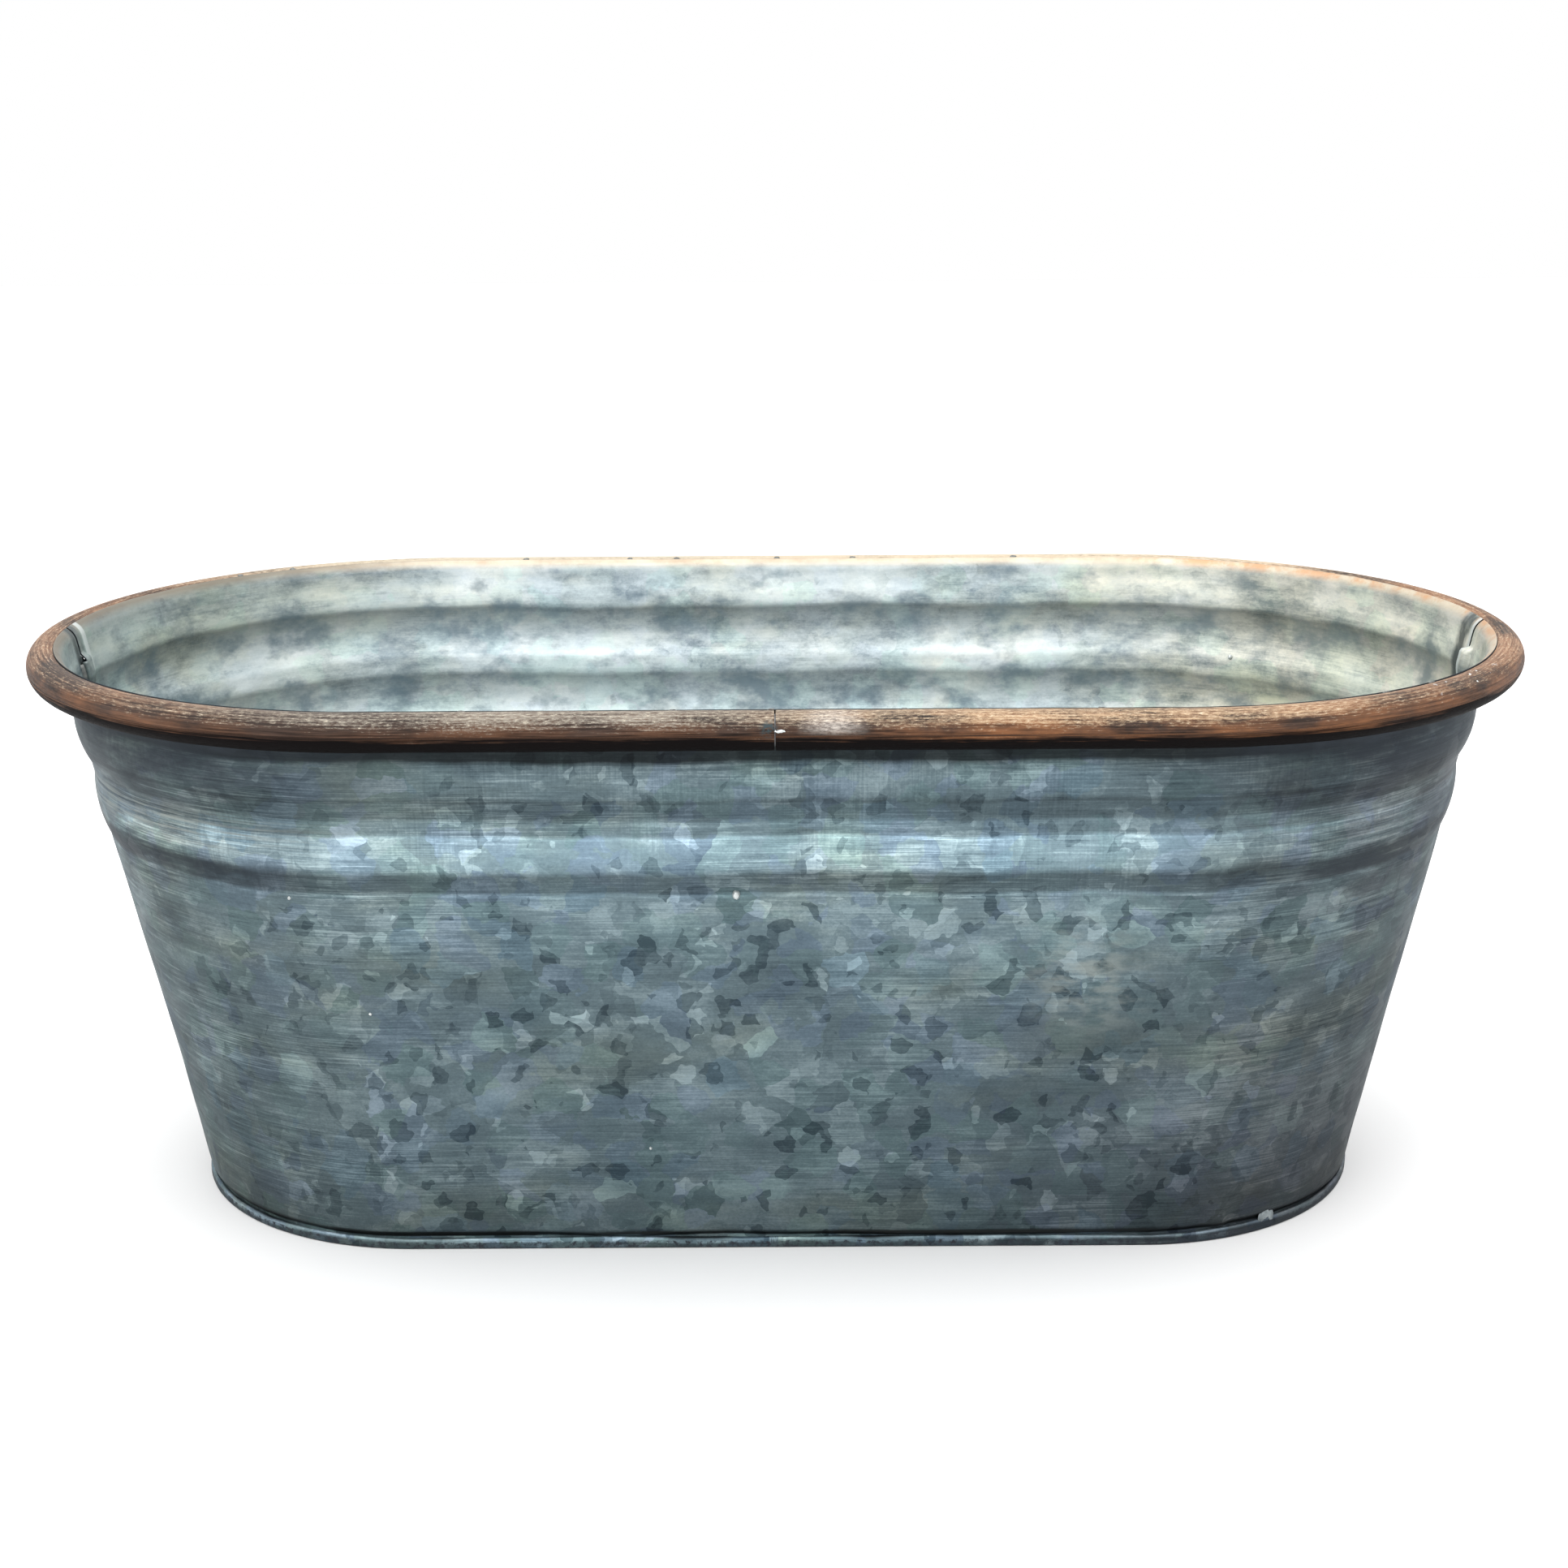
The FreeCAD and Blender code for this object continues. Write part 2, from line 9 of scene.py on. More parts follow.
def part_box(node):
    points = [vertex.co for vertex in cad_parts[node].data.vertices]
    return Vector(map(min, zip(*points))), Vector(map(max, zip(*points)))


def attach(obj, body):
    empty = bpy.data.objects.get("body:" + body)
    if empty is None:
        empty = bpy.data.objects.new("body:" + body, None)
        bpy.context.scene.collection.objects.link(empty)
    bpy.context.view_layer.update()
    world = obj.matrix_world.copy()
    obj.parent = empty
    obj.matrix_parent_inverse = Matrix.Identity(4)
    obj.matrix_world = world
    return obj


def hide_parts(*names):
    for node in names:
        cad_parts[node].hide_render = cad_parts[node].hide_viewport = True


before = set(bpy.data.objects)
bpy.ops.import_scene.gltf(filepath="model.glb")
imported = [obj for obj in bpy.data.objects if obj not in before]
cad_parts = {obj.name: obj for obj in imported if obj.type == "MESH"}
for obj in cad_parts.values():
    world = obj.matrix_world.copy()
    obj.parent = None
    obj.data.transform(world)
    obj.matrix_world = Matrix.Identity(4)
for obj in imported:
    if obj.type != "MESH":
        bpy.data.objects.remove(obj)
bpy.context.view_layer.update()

# Looks of the oval galvanised tub. Each sheet, the pan and the tube are swept round the
# oval from their own section, with the unevenness of real sheet metal, and take the
# place of the plain CAD pieces. Metres, with section numbers written in millimetres.

MM = 0.001
tube_low, tube_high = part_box("rim_tube")
TUBE_RADIUS = (tube_high.z - tube_low.z) / 2
RIM_HEIGHT = (tube_high.z + tube_low.z) / 2
RIM_RADIUS = tube_high.y - TUBE_RADIUS
HALF_RUN = tube_high.x - tube_high.y
SHEET = 0.5 * MM
TUBE_WALL = 1.0 * MM
REFERENCE_RADIUS = 100 * MM  # where a bend's length is taken for surface patterns

# Wall section in mm: radius and height of its outer face, as the CAD pieces have them.
HOOK_FACE = 82.35
FOOT = 81.75
HOOK_TOP, HOOK_BEND = 3.1, 1.35
FOOT_STEP = (FOOT, 4.6)
WALL_START = (83.11, 6.4)
CREASE = (106.89, 132.0)
GROOVE = (110.0, 151.6)
NECK = (111.04, 157.1)
THROAT = (114.63, 176.6)
LOWER_RIB, UPPER_RIB = 37.0, 27.0
LAP_REACH = 3.0
# Locked end seams in mm: the sheet's layers lie one pitch apart.
LOCK_PITCH = 0.75
LOCK_LOW, LOCK_HIGH = 8.46, 184.0
LOCK_START = 6.0  # how far from the seam's middle a sheet's end begins to change
LOCK_TURN = 2.0  # where the sheet's end folds back


# ---- small helpers --------------------------------------------------------------------


def ripple(points, wavelength, seed, waves=9):
    """Smooth uneven waves of about one length, mostly between -1 and 1, at points in space."""
    random = np.random.default_rng(seed)
    total = np.zeros(points.shape[:-1])
    for _ in range(waves):
        heading = random.normal(size=3)
        heading /= np.linalg.norm(heading) * wavelength * random.uniform(0.6, 1.6)
        total += np.sin(2 * math.pi * (points @ heading + random.uniform()))
    return total / math.sqrt(waves)


def smooth_step(value, start, end):
    share = np.clip((value - start) / (end - start), 0, 1)
    return share * share * (3 - 2 * share)


def bell(value, centre, width):
    """A hump of height 1 at the centre that dies out over the width on each side."""
    return np.exp(-(((value - centre) / width) ** 2))


def straight(start, end, step=0.25):
    count = max(2, round(math.dist(start, end) / step) + 1)
    return np.linspace(start, end, count)


def around(centre, radius, start_angle, end_angle, step=0.2):
    count = max(4, round(abs(end_angle - start_angle) * radius / step) + 1)
    angles = np.linspace(start_angle, end_angle, count)
    return np.array(centre) + radius * np.column_stack([np.cos(angles), np.sin(angles)])


def bulge(start, end, radius):
    """An arc from start up to end that bulges away from the axis."""
    start, end = np.array(start), np.array(end)
    chord = end - start
    half = np.linalg.norm(chord) / 2
    inward = np.array([-chord[1], chord[0]]) / (2 * half)
    centre = (start + end) / 2 + inward * math.sqrt(radius**2 - half**2)
    first, last = start - centre, end - centre
    first_angle = math.atan2(first[1], first[0])
    return around(centre, radius, first_angle, math.atan2(last[1], last[0]))


def joined(*stretches):
    """One line through several stretches, each beginning where the last one ends."""
    rest = [stretch[1:] for stretch in stretches[1:]]
    return np.vstack([stretches[0], *rest])


def softened(line, reach):
    """The line with its corners rounded over about reach points; its ends stay."""
    weights = np.hanning(2 * reach + 3)[1:-1]
    weights /= weights.sum()
    padded = np.vstack([np.repeat(line[:1], reach, 0), line, np.repeat(line[-1:], reach, 0)])
    result = [np.convolve(padded[:, axis], weights, "valid") for axis in range(2)]
    result = np.column_stack(result)
    result[0], result[-1] = line[0], line[-1]
    return result


def thinned(line, spacing):
    """Points of a fine line, as far apart as spacing says at each of them."""
    kept = [0]
    travelled = 0.0
    for index in range(1, len(line)):
        travelled += math.dist(line[index - 1], line[index])
        if travelled >= spacing(line[index]):
            kept.append(index)
            travelled = 0.0
    if kept[-1] != len(line) - 1:
        kept.append(len(line) - 1)
    return line[kept]


def right_hand_normals(line):
    """Unit normals on the right of a (radius, height) line, which is outwards going up."""
    along = np.gradient(line, axis=0)
    along /= np.linalg.norm(along, axis=1)[:, None]
    return np.column_stack([along[:, 1], -along[:, 0]])


def lengths(line):
    return np.concatenate([[0], np.cumsum(np.linalg.norm(np.diff(line, axis=0), axis=1))])


def grid_faces(rows, columns, closed=False, closed_rows=False, keep=None):
    """Quads of a grid whose vertices run column by column along each row."""
    faces = []
    for row in range(rows if closed_rows else rows - 1):
        for column in range(columns if closed else columns - 1):
            if keep is not None and not keep(row, column):
                continue
            following = (column + 1) % columns
            low, high = row * columns, (row + 1) % rows * columns
            faces.append((low + column, low + following, high + following, high + column))
    return faces


def placed(name, data):
    made = bpy.data.objects.new(name, data)
    bpy.context.scene.collection.objects.link(made)
    return made


def piece(name, vertices, faces, materials, uv=None):
    """A smooth-shaded mesh object that rides on the tub's one body."""
    mesh = bpy.data.meshes.new(name)
    mesh.from_pydata([tuple(v) for v in vertices], [], faces)
    if uv is not None:
        layer = mesh.uv_layers.new(name="surface")
        corners = np.empty(len(mesh.loops), dtype=np.int32)
        mesh.loops.foreach_get("vertex_index", corners)
        layer.data.foreach_set("uv", np.asarray(uv)[corners].astype(np.float32).ravel())
    for material in materials:
        mesh.materials.append(material)
    mesh.polygons.foreach_set("use_smooth", [True] * len(mesh.polygons))
    made = placed(name, mesh)
    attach(made, "root")
    return made


def thicken(made, thickness, offset, inner_material=0):
    """Gives a surface its sheet's thickness; offset -1 puts all of it behind its face."""
    modifier = made.modifiers.new("sheet", "SOLIDIFY")
    modifier.thickness = thickness
    modifier.offset = offset
    modifier.use_even_offset = True
    modifier.material_offset = inner_material
    evaluated = made.evaluated_get(bpy.context.evaluated_depsgraph_get())
    mesh = bpy.data.meshes.new_from_object(evaluated)
    made.modifiers.clear()
    made.data = mesh


def tidied(made, merge_distance=None):
    """Turns a surface's faces all the same way out, after merging its doubled points if asked."""
    mesh = bmesh.new()
    mesh.from_mesh(made.data)
    if merge_distance is not None:
        bmesh.ops.remove_doubles(mesh, verts=mesh.verts, dist=merge_distance)
    bmesh.ops.recalc_face_normals(mesh, faces=mesh.faces)
    mesh.to_mesh(made.data)
    mesh.free()


# ---- the oval -------------------------------------------------------------------------


def oval_stations(step):
    """Stations round the oval, from the front's middle to the right: base x, normal, length."""
    run_count, bend_count = round(HALF_RUN / step), round(math.pi * REFERENCE_RADIUS / step)
    run, bend = np.arange(run_count) / run_count, np.arange(bend_count) / bend_count
    half = HALF_RUN + math.pi * REFERENCE_RADIUS + HALF_RUN
    stations = [(HALF_RUN * share, 0.0, -1.0, HALF_RUN * share) for share in run]
    for turn in math.pi * bend:
        along = HALF_RUN + REFERENCE_RADIUS * turn
        stations.append((HALF_RUN, math.sin(turn), -math.cos(turn), along))
    for share in run:
        stations.append((HALF_RUN * (1 - share), 0.0, 1.0, half - HALF_RUN * (1 - share)))
    half_round = np.array(stations)
    return np.vstack([half_round, half_round * (-1, -1, -1, 1) + (0, 0, 0, half)])


def sweep(stations, section):
    """Points of a section of (radius, height), in metres, at each station, row by row."""
    radius, height = section[:, 0][:, None], section[:, 1][:, None]
    x = stations[:, 0][None, :] + stations[:, 1][None, :] * radius
    y = stations[:, 2][None, :] * radius
    z = np.broadcast_to(height, x.shape)
    return np.stack([x, y, z], axis=-1)


# ---- wall sheets ----------------------------------------------------------------------


def lap_line():
    """The straight throat and the arc that laps over the tube, in mm."""
    centre = np.array([RIM_RADIUS, RIM_HEIGHT]) / MM
    reach = TUBE_RADIUS / MM + 0.02
    away = centre - np.array(THROAT)
    lean = math.atan2(away[0], away[1]) - math.asin(reach / np.linalg.norm(away))
    touch_angle = math.pi - lean
    cut_angle = math.acos(-LAP_REACH / reach)
    tangent = centre + reach * np.array([math.cos(touch_angle), math.sin(touch_angle)])
    return joined(straight(THROAT, tangent), around(centre, reach, touch_angle, cut_angle))


def wall_section():
    """Middle of the sheet from the hook in the foot seam to the lap's cut edge, in metres."""
    bend_middle = (HOOK_FACE + FOOT) / 2
    bend_radius = (HOOK_FACE - FOOT) / 2
    hook = straight((HOOK_FACE, HOOK_TOP), (HOOK_FACE, HOOK_BEND))
    bend = around((bend_middle, HOOK_BEND), bend_radius, 0, -math.pi, step=0.12)
    foot = straight((FOOT, HOOK_BEND), FOOT_STEP)
    step = straight(FOOT_STEP, WALL_START)
    wall = straight(WALL_START, CREASE)
    ribs = joined(bulge(CREASE, GROOVE, LOWER_RIB), straight(GROOVE, NECK))
    ribs = joined(ribs, bulge(NECK, THROAT, UPPER_RIB), lap_line())
    outer = joined(hook, bend, foot, softened(joined(step, wall, ribs), reach=4))
    middle = outer - right_hand_normals(outer) * SHEET / MM / 2

    def spacing(point):
        height = point[1]
        if height < 9 or height > 181:
            return 0.55
        return 2.4 if height < 127 else 1.1

    return thinned(middle, spacing) * MM


def lock_depths(kind):
    """Path of a sheet's end across a seam: along the wall, and depth behind its face, in mm.

    Returns the part that belongs to the whole height of the sheet, then the hem that is
    folded back, which only the seam's height has.
    """
    middle = SHEET / MM / 2
    if kind == "over":
        ramp = np.linspace(-LOCK_START, -2.6, 15)[1:]
        depth = middle + 3 * LOCK_PITCH * smooth_step(ramp, -4.6, -3.1)
        flat = np.linspace(-2.6, LOCK_TURN, 9)[1:]
        body = [(y, d) for y, d in zip(ramp, depth)]
        body += [(y, middle + 3 * LOCK_PITCH) for y in flat]
        turn_depth, way = middle + 2 * LOCK_PITCH, -1
    else:
        body = [(y, middle) for y in np.linspace(-LOCK_START, LOCK_TURN, 17)[1:]]
        turn_depth, way = middle + LOCK_PITCH, 1
    hem = []
    for angle in np.linspace(0, math.pi, 9)[1:]:
        across = LOCK_TURN + LOCK_PITCH * math.sin(angle)
        hem.append((across, turn_depth - way * LOCK_PITCH * math.cos(angle)))
    last_depth = hem[-1][1]
    hem += [(y, last_depth) for y in np.linspace(LOCK_TURN, -LOCK_TURN, 8)[1:]]
    return np.array(body), np.array(hem)


def wall_columns():
    """Columns of the front sheet from its left seam to its right one.

    Each is (side, kind, place, across, depth): kind 0 is on the straight run with place
    its x, and kind 1 is on a bend with place its share of the way to the seam. Kinds 2
    and 3 are in the seam, 3 in its folded hem; across and depth are its own path in mm.
    """
    bend_count, run_count = 84, 98
    under_body, under_hem = lock_depths("under")
    over_body, over_hem = lock_depths("over")
    middle = SHEET / MM / 2
    columns = []
    for across, depth in under_hem[::-1]:
        columns.append((-1, 3, 0, across, depth))
    for across, depth in under_body[::-1]:
        columns.append((-1, 2, 0, across, depth))
    for index in range(bend_count, 0, -1):
        columns.append((-1, 1, index / bend_count, 0, middle))
    for index in range(run_count + 1):
        columns.append((0, 0, -HALF_RUN + 2 * HALF_RUN * index / run_count, 0, middle))
    for index in range(1, bend_count + 1):
        columns.append((1, 1, index / bend_count, 0, middle))
    for across, depth in over_body:
        columns.append((1, 2, 0, across, depth))
    for across, depth in over_hem:
        columns.append((1, 3, 0, across, depth))
    return columns


def wall_points(section):
    """Points of the front sheet's middle surface, row by row, and their pattern coordinates."""
    normals = right_hand_normals(section)
    run_up = lengths(section)
    columns = wall_columns()
    points = np.zeros((len(section), len(columns), 3))
    uv = np.zeros((len(section), len(columns), 2))
    in_lock = smooth_step(section[:, 1] / MM, LOCK_LOW, LOCK_LOW + 1.6)
    in_lock *= 1 - smooth_step(section[:, 1] / MM, LOCK_HIGH - 2.2, LOCK_HIGH)
    middle = SHEET / 2
    quarter = math.pi / 2
    for number, (side, kind, place, across, depth) in enumerate(columns):
        radius = section[:, 0]
        height = section[:, 1]
        if kind == 0:
            x, y = np.full_like(radius, place), -radius
            along = np.full_like(radius, place)
        elif kind == 1:
            reach = quarter - np.arcsin(LOCK_START * MM / radius)
            angle = -quarter + reach * place
            x = side * (HALF_RUN + radius * np.cos(angle))
            y = radius * np.sin(angle)
            along = side * (HALF_RUN + REFERENCE_RADIUS * (angle + quarter))
        else:
            butt = np.interp(across, [-LOCK_START, 3], [-LOCK_START, -0.04])
            y = (across * in_lock + butt * (1 - in_lock)) * MM
            deeper = (depth * MM - middle) * in_lock
            radius = section[:, 0] - deeper * normals[:, 0]
            height = section[:, 1] - deeper * normals[:, 1]
            x = side * (HALF_RUN + radius)
            along = side * (HALF_RUN + REFERENCE_RADIUS * quarter + across * MM)
            if kind == 3:
                along = along + side * 8 * MM
        points[:, number] = np.column_stack([x, y, height])
        uv[:, number, 0] = along
        uv[:, number, 1] = run_up
    return points, uv, columns


def outward(points):
    """Level unit vectors away from the tub's long middle line."""
    flat = points.copy()
    flat[..., 2] = 0
    flat[..., 0] -= np.clip(flat[..., 0], -HALF_RUN, HALF_RUN)
    return flat / np.maximum(np.linalg.norm(flat, axis=-1), 1e-9)[..., None]


def dented(points):
    """The wall with the shallow waves and dents of thin sheet, none at the foot or the rim."""
    height = points[..., 2] / MM
    free = smooth_step(height, 6, 30) * (1 - smooth_step(height, 168, 184))
    flat_part = 1 - smooth_step(height, 120, 136)
    push = 0.16 * ripple(points, 0.10, seed=11) + 0.07 * ripple(points, 0.035, seed=12)
    push += 0.22 * flat_part * ripple(points, 0.16, seed=13)
    ribs = 1 - flat_part
    push += 0.05 * ribs * ripple(points * (1, 1, 0.2), 0.02, seed=14)
    return points + outward(points) * (push * free * MM)[..., None]


def foot_gap(points):
    """How wide the groove over the foot seam stands open, from 0 to 1."""
    wander = ripple(points, 0.055, seed=21) * 0.5 + 0.45
    x, y = points[..., 0] / MM, points[..., 1]
    front = (y < 0).astype(float)
    wide = bell(x, -118, 8) + bell(x, -88, 22) + bell(x, 160, 10) + 0.6 * bell(x, -20, 12)
    tight = bell(x, 60, 30) + bell(x, 147, 4)
    return np.clip(wander + front * (wide - tight), 0, 1)


def settled(points):
    """The wall's foot, where the step over the seam comes lower between the open stretches."""
    height = points[..., 2] / MM
    reach = smooth_step(height, 3.6, 5.6) * (1 - smooth_step(height, 8, 26))
    points = points.copy()
    points[..., 2] -= reach * (1 - foot_gap(points)) * 1.3 * MM
    return points


def lap_edge_waves(points):
    """The lap's cut edge, a little uneven."""
    height = points[..., 2]
    at_edge = smooth_step(height, RIM_HEIGHT + 3.2 * MM, RIM_HEIGHT + 5.4 * MM)
    points = points.copy()
    points[..., 2] -= at_edge * np.abs(ripple(points, 0.04, seed=31)) * 0.08 * MM
    return points


def wall_sheet(name, node, half_turn, outer, inner):
    section = wall_section()
    points, uv, columns = wall_points(section)
    if half_turn:
        points = points * (-1, -1, 1)
    points = lap_edge_waves(settled(dented(points)))
    rows = len(section)
    heights = section[:, 1] / MM
    low_row = int(np.argmax(heights > LOCK_LOW + 1.8))
    high_row = int(np.argmax(heights > LOCK_HIGH - 2.4))

    def keep(row, column):
        in_hem = columns[column][1] == 3 or columns[column + 1][1] == 3
        return not in_hem or (row >= low_row and row + 1 < high_row)

    faces = grid_faces(rows, len(columns), keep=keep)
    used = sorted({corner for face in faces for corner in face})
    renumbered = {old: new for new, old in enumerate(used)}
    faces = [tuple(renumbered[corner] for corner in face) for face in faces]
    vertices = points.reshape(-1, 3)[used]
    surface = uv.reshape(-1, 2)[used]
    if half_turn:
        surface = surface + (3.0, 0)
    made = piece(name, vertices, faces, [outer, inner], surface)
    thicken(made, SHEET, 0, inner_material=1)
    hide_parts(node)


# ---- pan, tube and small pieces -------------------------------------------------------


def pan_section():
    """Middle of the pan's sheet from the panel's edge, down and round the foot seam, in mm."""
    half = SHEET / MM / 2
    inner, cover, outer = 80.95, 82.05, 83.15
    top, bend, fold = 5.25, 1.75, 0.55
    panel = straight((inner - 6, top), (inner - bend, top))
    corner = around((inner - bend, top - bend), bend, math.pi / 2, 0)
    leg = straight((inner, top - bend), (inner, half + fold))
    first = around((inner + fold, half + fold), fold, math.pi, 1.5 * math.pi, step=0.12)
    floor = straight((inner + fold, half), (outer - fold, half))
    second = around((outer - fold, half + fold), fold, -math.pi / 2, 0, step=0.12)
    rise = straight((outer, half + fold), (outer, HOOK_TOP))
    turn = around(((outer + cover) / 2, HOOK_TOP), fold, 0, math.pi, step=0.12)
    back = straight((cover, HOOK_TOP), (cover, 1.7))
    line = joined(panel, corner, leg, first, floor, second, rise, turn, back)
    return thinned(line, lambda point: 0.3 if point[0] > inner - bend else 1.5) * MM


def seam_waves(points):
    """The rolled foot seam: its top edge wanders up and down and in and out."""
    outer_side = smooth_step(outward_reach(points) / MM, 81.6, 82.6)
    level = smooth_step(points[..., 2] / MM, 0.8, 3.6)
    high = ripple(points * (1, 1, 0), 0.07, seed=41) * 0.12
    high += ripple(points * (1, 1, 0), 0.018, seed=42) * 0.09
    aside = ripple(points * (1, 1, 0), 0.05, seed=43) * 0.10
    aside += ripple(points * (1, 1, 0), 0.012, seed=44) * 0.05
    moved = points + outward(points) * (aside * level * outer_side * MM)[..., None]
    moved[..., 2] += high * level * outer_side * MM
    return moved


def outward_reach(points):
    """Distance from the tub's long middle line, seen from above."""
    x = points[..., 0] - np.clip(points[..., 0], -HALF_RUN, HALF_RUN)
    return np.hypot(x, points[..., 1])


def pan(material, underside):
    stations = oval_stations(3 * MM)
    section = pan_section()
    inward = np.linspace(0, section[0, 0], 14)[:-1]
    panel = np.column_stack([inward, np.full_like(inward, section[0, 1])])
    section = np.vstack([panel, section])
    points = sweep(stations, section)
    reach = outward_reach(points)
    free = 1 - smooth_step(reach, 0.05, 0.078)
    points[..., 2] += free * ripple(points, 0.13, seed=51) * 0.5 * MM
    points = seam_waves(points)
    faces = grid_faces(len(section), len(stations), closed=True)
    flat = points.reshape(-1, 3)
    along, over = stations[:, 3][None], 2.0 + lengths(section)[:, None]
    uv = np.stack(np.broadcast_arrays(along, over), axis=-1)
    on_panel = section[:, 0] < 79.3 * MM
    uv[on_panel] = points[on_panel][..., :2] + (0, 1.0)
    uv = uv.reshape(-1, 2)
    made = piece("pan_with_foot_seam", flat, faces, [material, underside], uv)
    tidied(made, merge_distance=0.01 * MM)
    thicken(made, SHEET, 0)
    for face in made.data.polygons:
        under = face.normal.z < -0.5 or outward_reach(np.array(face.center)) > 79.3 * MM
        face.material_index = 1 if under else 0
    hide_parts("bottom_pan")


def tube(material):
    """The rim tube, open where its two ends meet at the middle of the front."""
    gap_half = 0.15 * MM
    stations = oval_stations(2 * MM)
    total = stations[-1, 3] + (stations[1, 3] - stations[0, 3])
    from_joint = gap_half + np.array([0, 0.06, 0.14, 0.3, 0.8]) * MM
    first = [(x, 0.0, -1.0, x) for x in from_joint]
    last = [(-x, 0.0, -1.0, total - x) for x, *_ in first[::-1]]
    stations = np.vstack([first, stations[1:], last])
    around_count = 56
    angles = np.linspace(0, 2 * math.pi, around_count, endpoint=False)
    ring = np.column_stack([np.cos(angles), np.sin(angles)])
    to_end = np.minimum(stations[:, 3], total - stations[:, 3]) - gap_half
    rounding = 0.3 * MM
    short = np.clip(1 - to_end / rounding, 0, 1)
    drop = rounding * (1 - np.sqrt(1 - short**2))
    centre = sweep(stations, np.array([(RIM_RADIUS, RIM_HEIGHT)]))[0]
    normal = outward(centre)
    radius = (TUBE_RADIUS - drop)[None, :, None]
    level = ring[:, 0][:, None, None] * normal[None]
    upright = ring[:, 1][:, None, None] * np.array([0, 0, 1])
    surface = centre[None] + radius * (level + upright)
    uneven = 0.05 * ripple(surface, 0.05, seed=61) + 0.025 * ripple(surface, 0.011, seed=62)
    free = smooth_step(ring[:, 0] - ring[:, 1], -0.9, 0.2)[:, None]
    surface = surface + (level + upright) * ((uneven - 0.06) * free * MM)[..., None]
    faces = grid_faces(around_count, len(stations), closed_rows=True)
    uv = np.zeros((around_count, len(stations), 2))
    uv[..., 0] = stations[:, 3][None]
    uv[..., 1] = (angles * TUBE_RADIUS)[:, None]
    made = piece("rim_tube_skin", surface.reshape(-1, 3), faces, [material],
                 uv.reshape(-1, 2))
    tidied(made)
    thicken(made, TUBE_WALL, -1)
    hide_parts("rim_tube")


def lump(centre, size, facing, seed, rough=0.25, detail=4):
    """Vertices and faces of an uneven blob, its last axis turned to face a direction."""
    ball = bmesh.new()
    bmesh.ops.create_icosphere(ball, subdivisions=detail, radius=1)
    vertices = np.array([v.co for v in ball.verts])
    faces = [tuple(v.index for v in f.verts) for f in ball.faces]
    ball.free()
    bumps = ripple(vertices, 1.6, seed) * 0.6 + ripple(vertices, 0.7, seed + 1) * 0.4
    vertices *= (1 + rough * bumps)[:, None]
    turned = Vector(facing).to_track_quat("Z", "X").to_matrix()
    vertices = (vertices * size) @ np.array(turned).T + np.array(centre)
    return vertices, faces


def lumps(name, blobs, material, slot, *nodes):
    """Several blobs as one piece that stands for CAD nodes, if any."""
    vertices, faces = [], []
    for blob_vertices, blob_faces in blobs:
        base = sum(len(v) for v in vertices)
        vertices.append(blob_vertices)
        faces += [tuple(corner + base for corner in face) for face in blob_faces]
    made = piece(name, np.vstack(vertices), faces, [material])
    if nodes:
        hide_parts(*nodes)


def tack_blobs():
    """Solder spots on the lap's cut edge: six on the rear run, two on its left bend, and the
    same half a turn round."""
    cut_angle = math.radians(114)
    reach = TUBE_RADIUS + 0.1 * MM
    radius = RIM_RADIUS + reach * math.cos(cut_angle)
    height = RIM_HEIGHT + reach * math.sin(cut_angle)
    places = [(x * MM, 0.0, 1.0) for x in (-96, -56, -38, 1, 30, 92)]
    for turn in (31, 41):
        angle = math.radians(90 + turn)
        places.append((-HALF_RUN, math.cos(angle), math.sin(angle)))
    blobs = []
    for number, (x, nx, ny) in enumerate(places):
        for sign in (1, -1):
            centre = (sign * (x + nx * radius), sign * ny * radius, height)
            across = (sign * nx * math.cos(cut_angle), sign * ny * math.cos(cut_angle))
            facing = (*across, math.sin(cut_angle))
            size = np.array([0.75, 1.15, 0.42]) * MM
            blobs.append(lump(centre, size, facing, seed=70 + number * 3 + (sign > 0), rough=0.2))
    return blobs


def joint_drop():
    """The bright drop of solder on the right of the tube's joint."""
    elevation = math.radians(16)
    facing = Vector((0, -math.cos(elevation), math.sin(elevation)))
    middle = Vector((0, -RIM_RADIUS, RIM_HEIGHT)) + facing * TUBE_RADIUS
    centre = middle + Vector((1.3, 0, -0.4)) * MM
    size = np.array([0.5, 1.25, 0.35]) * MM
    return [lump(centre, size, facing, seed=91, rough=0.5)]


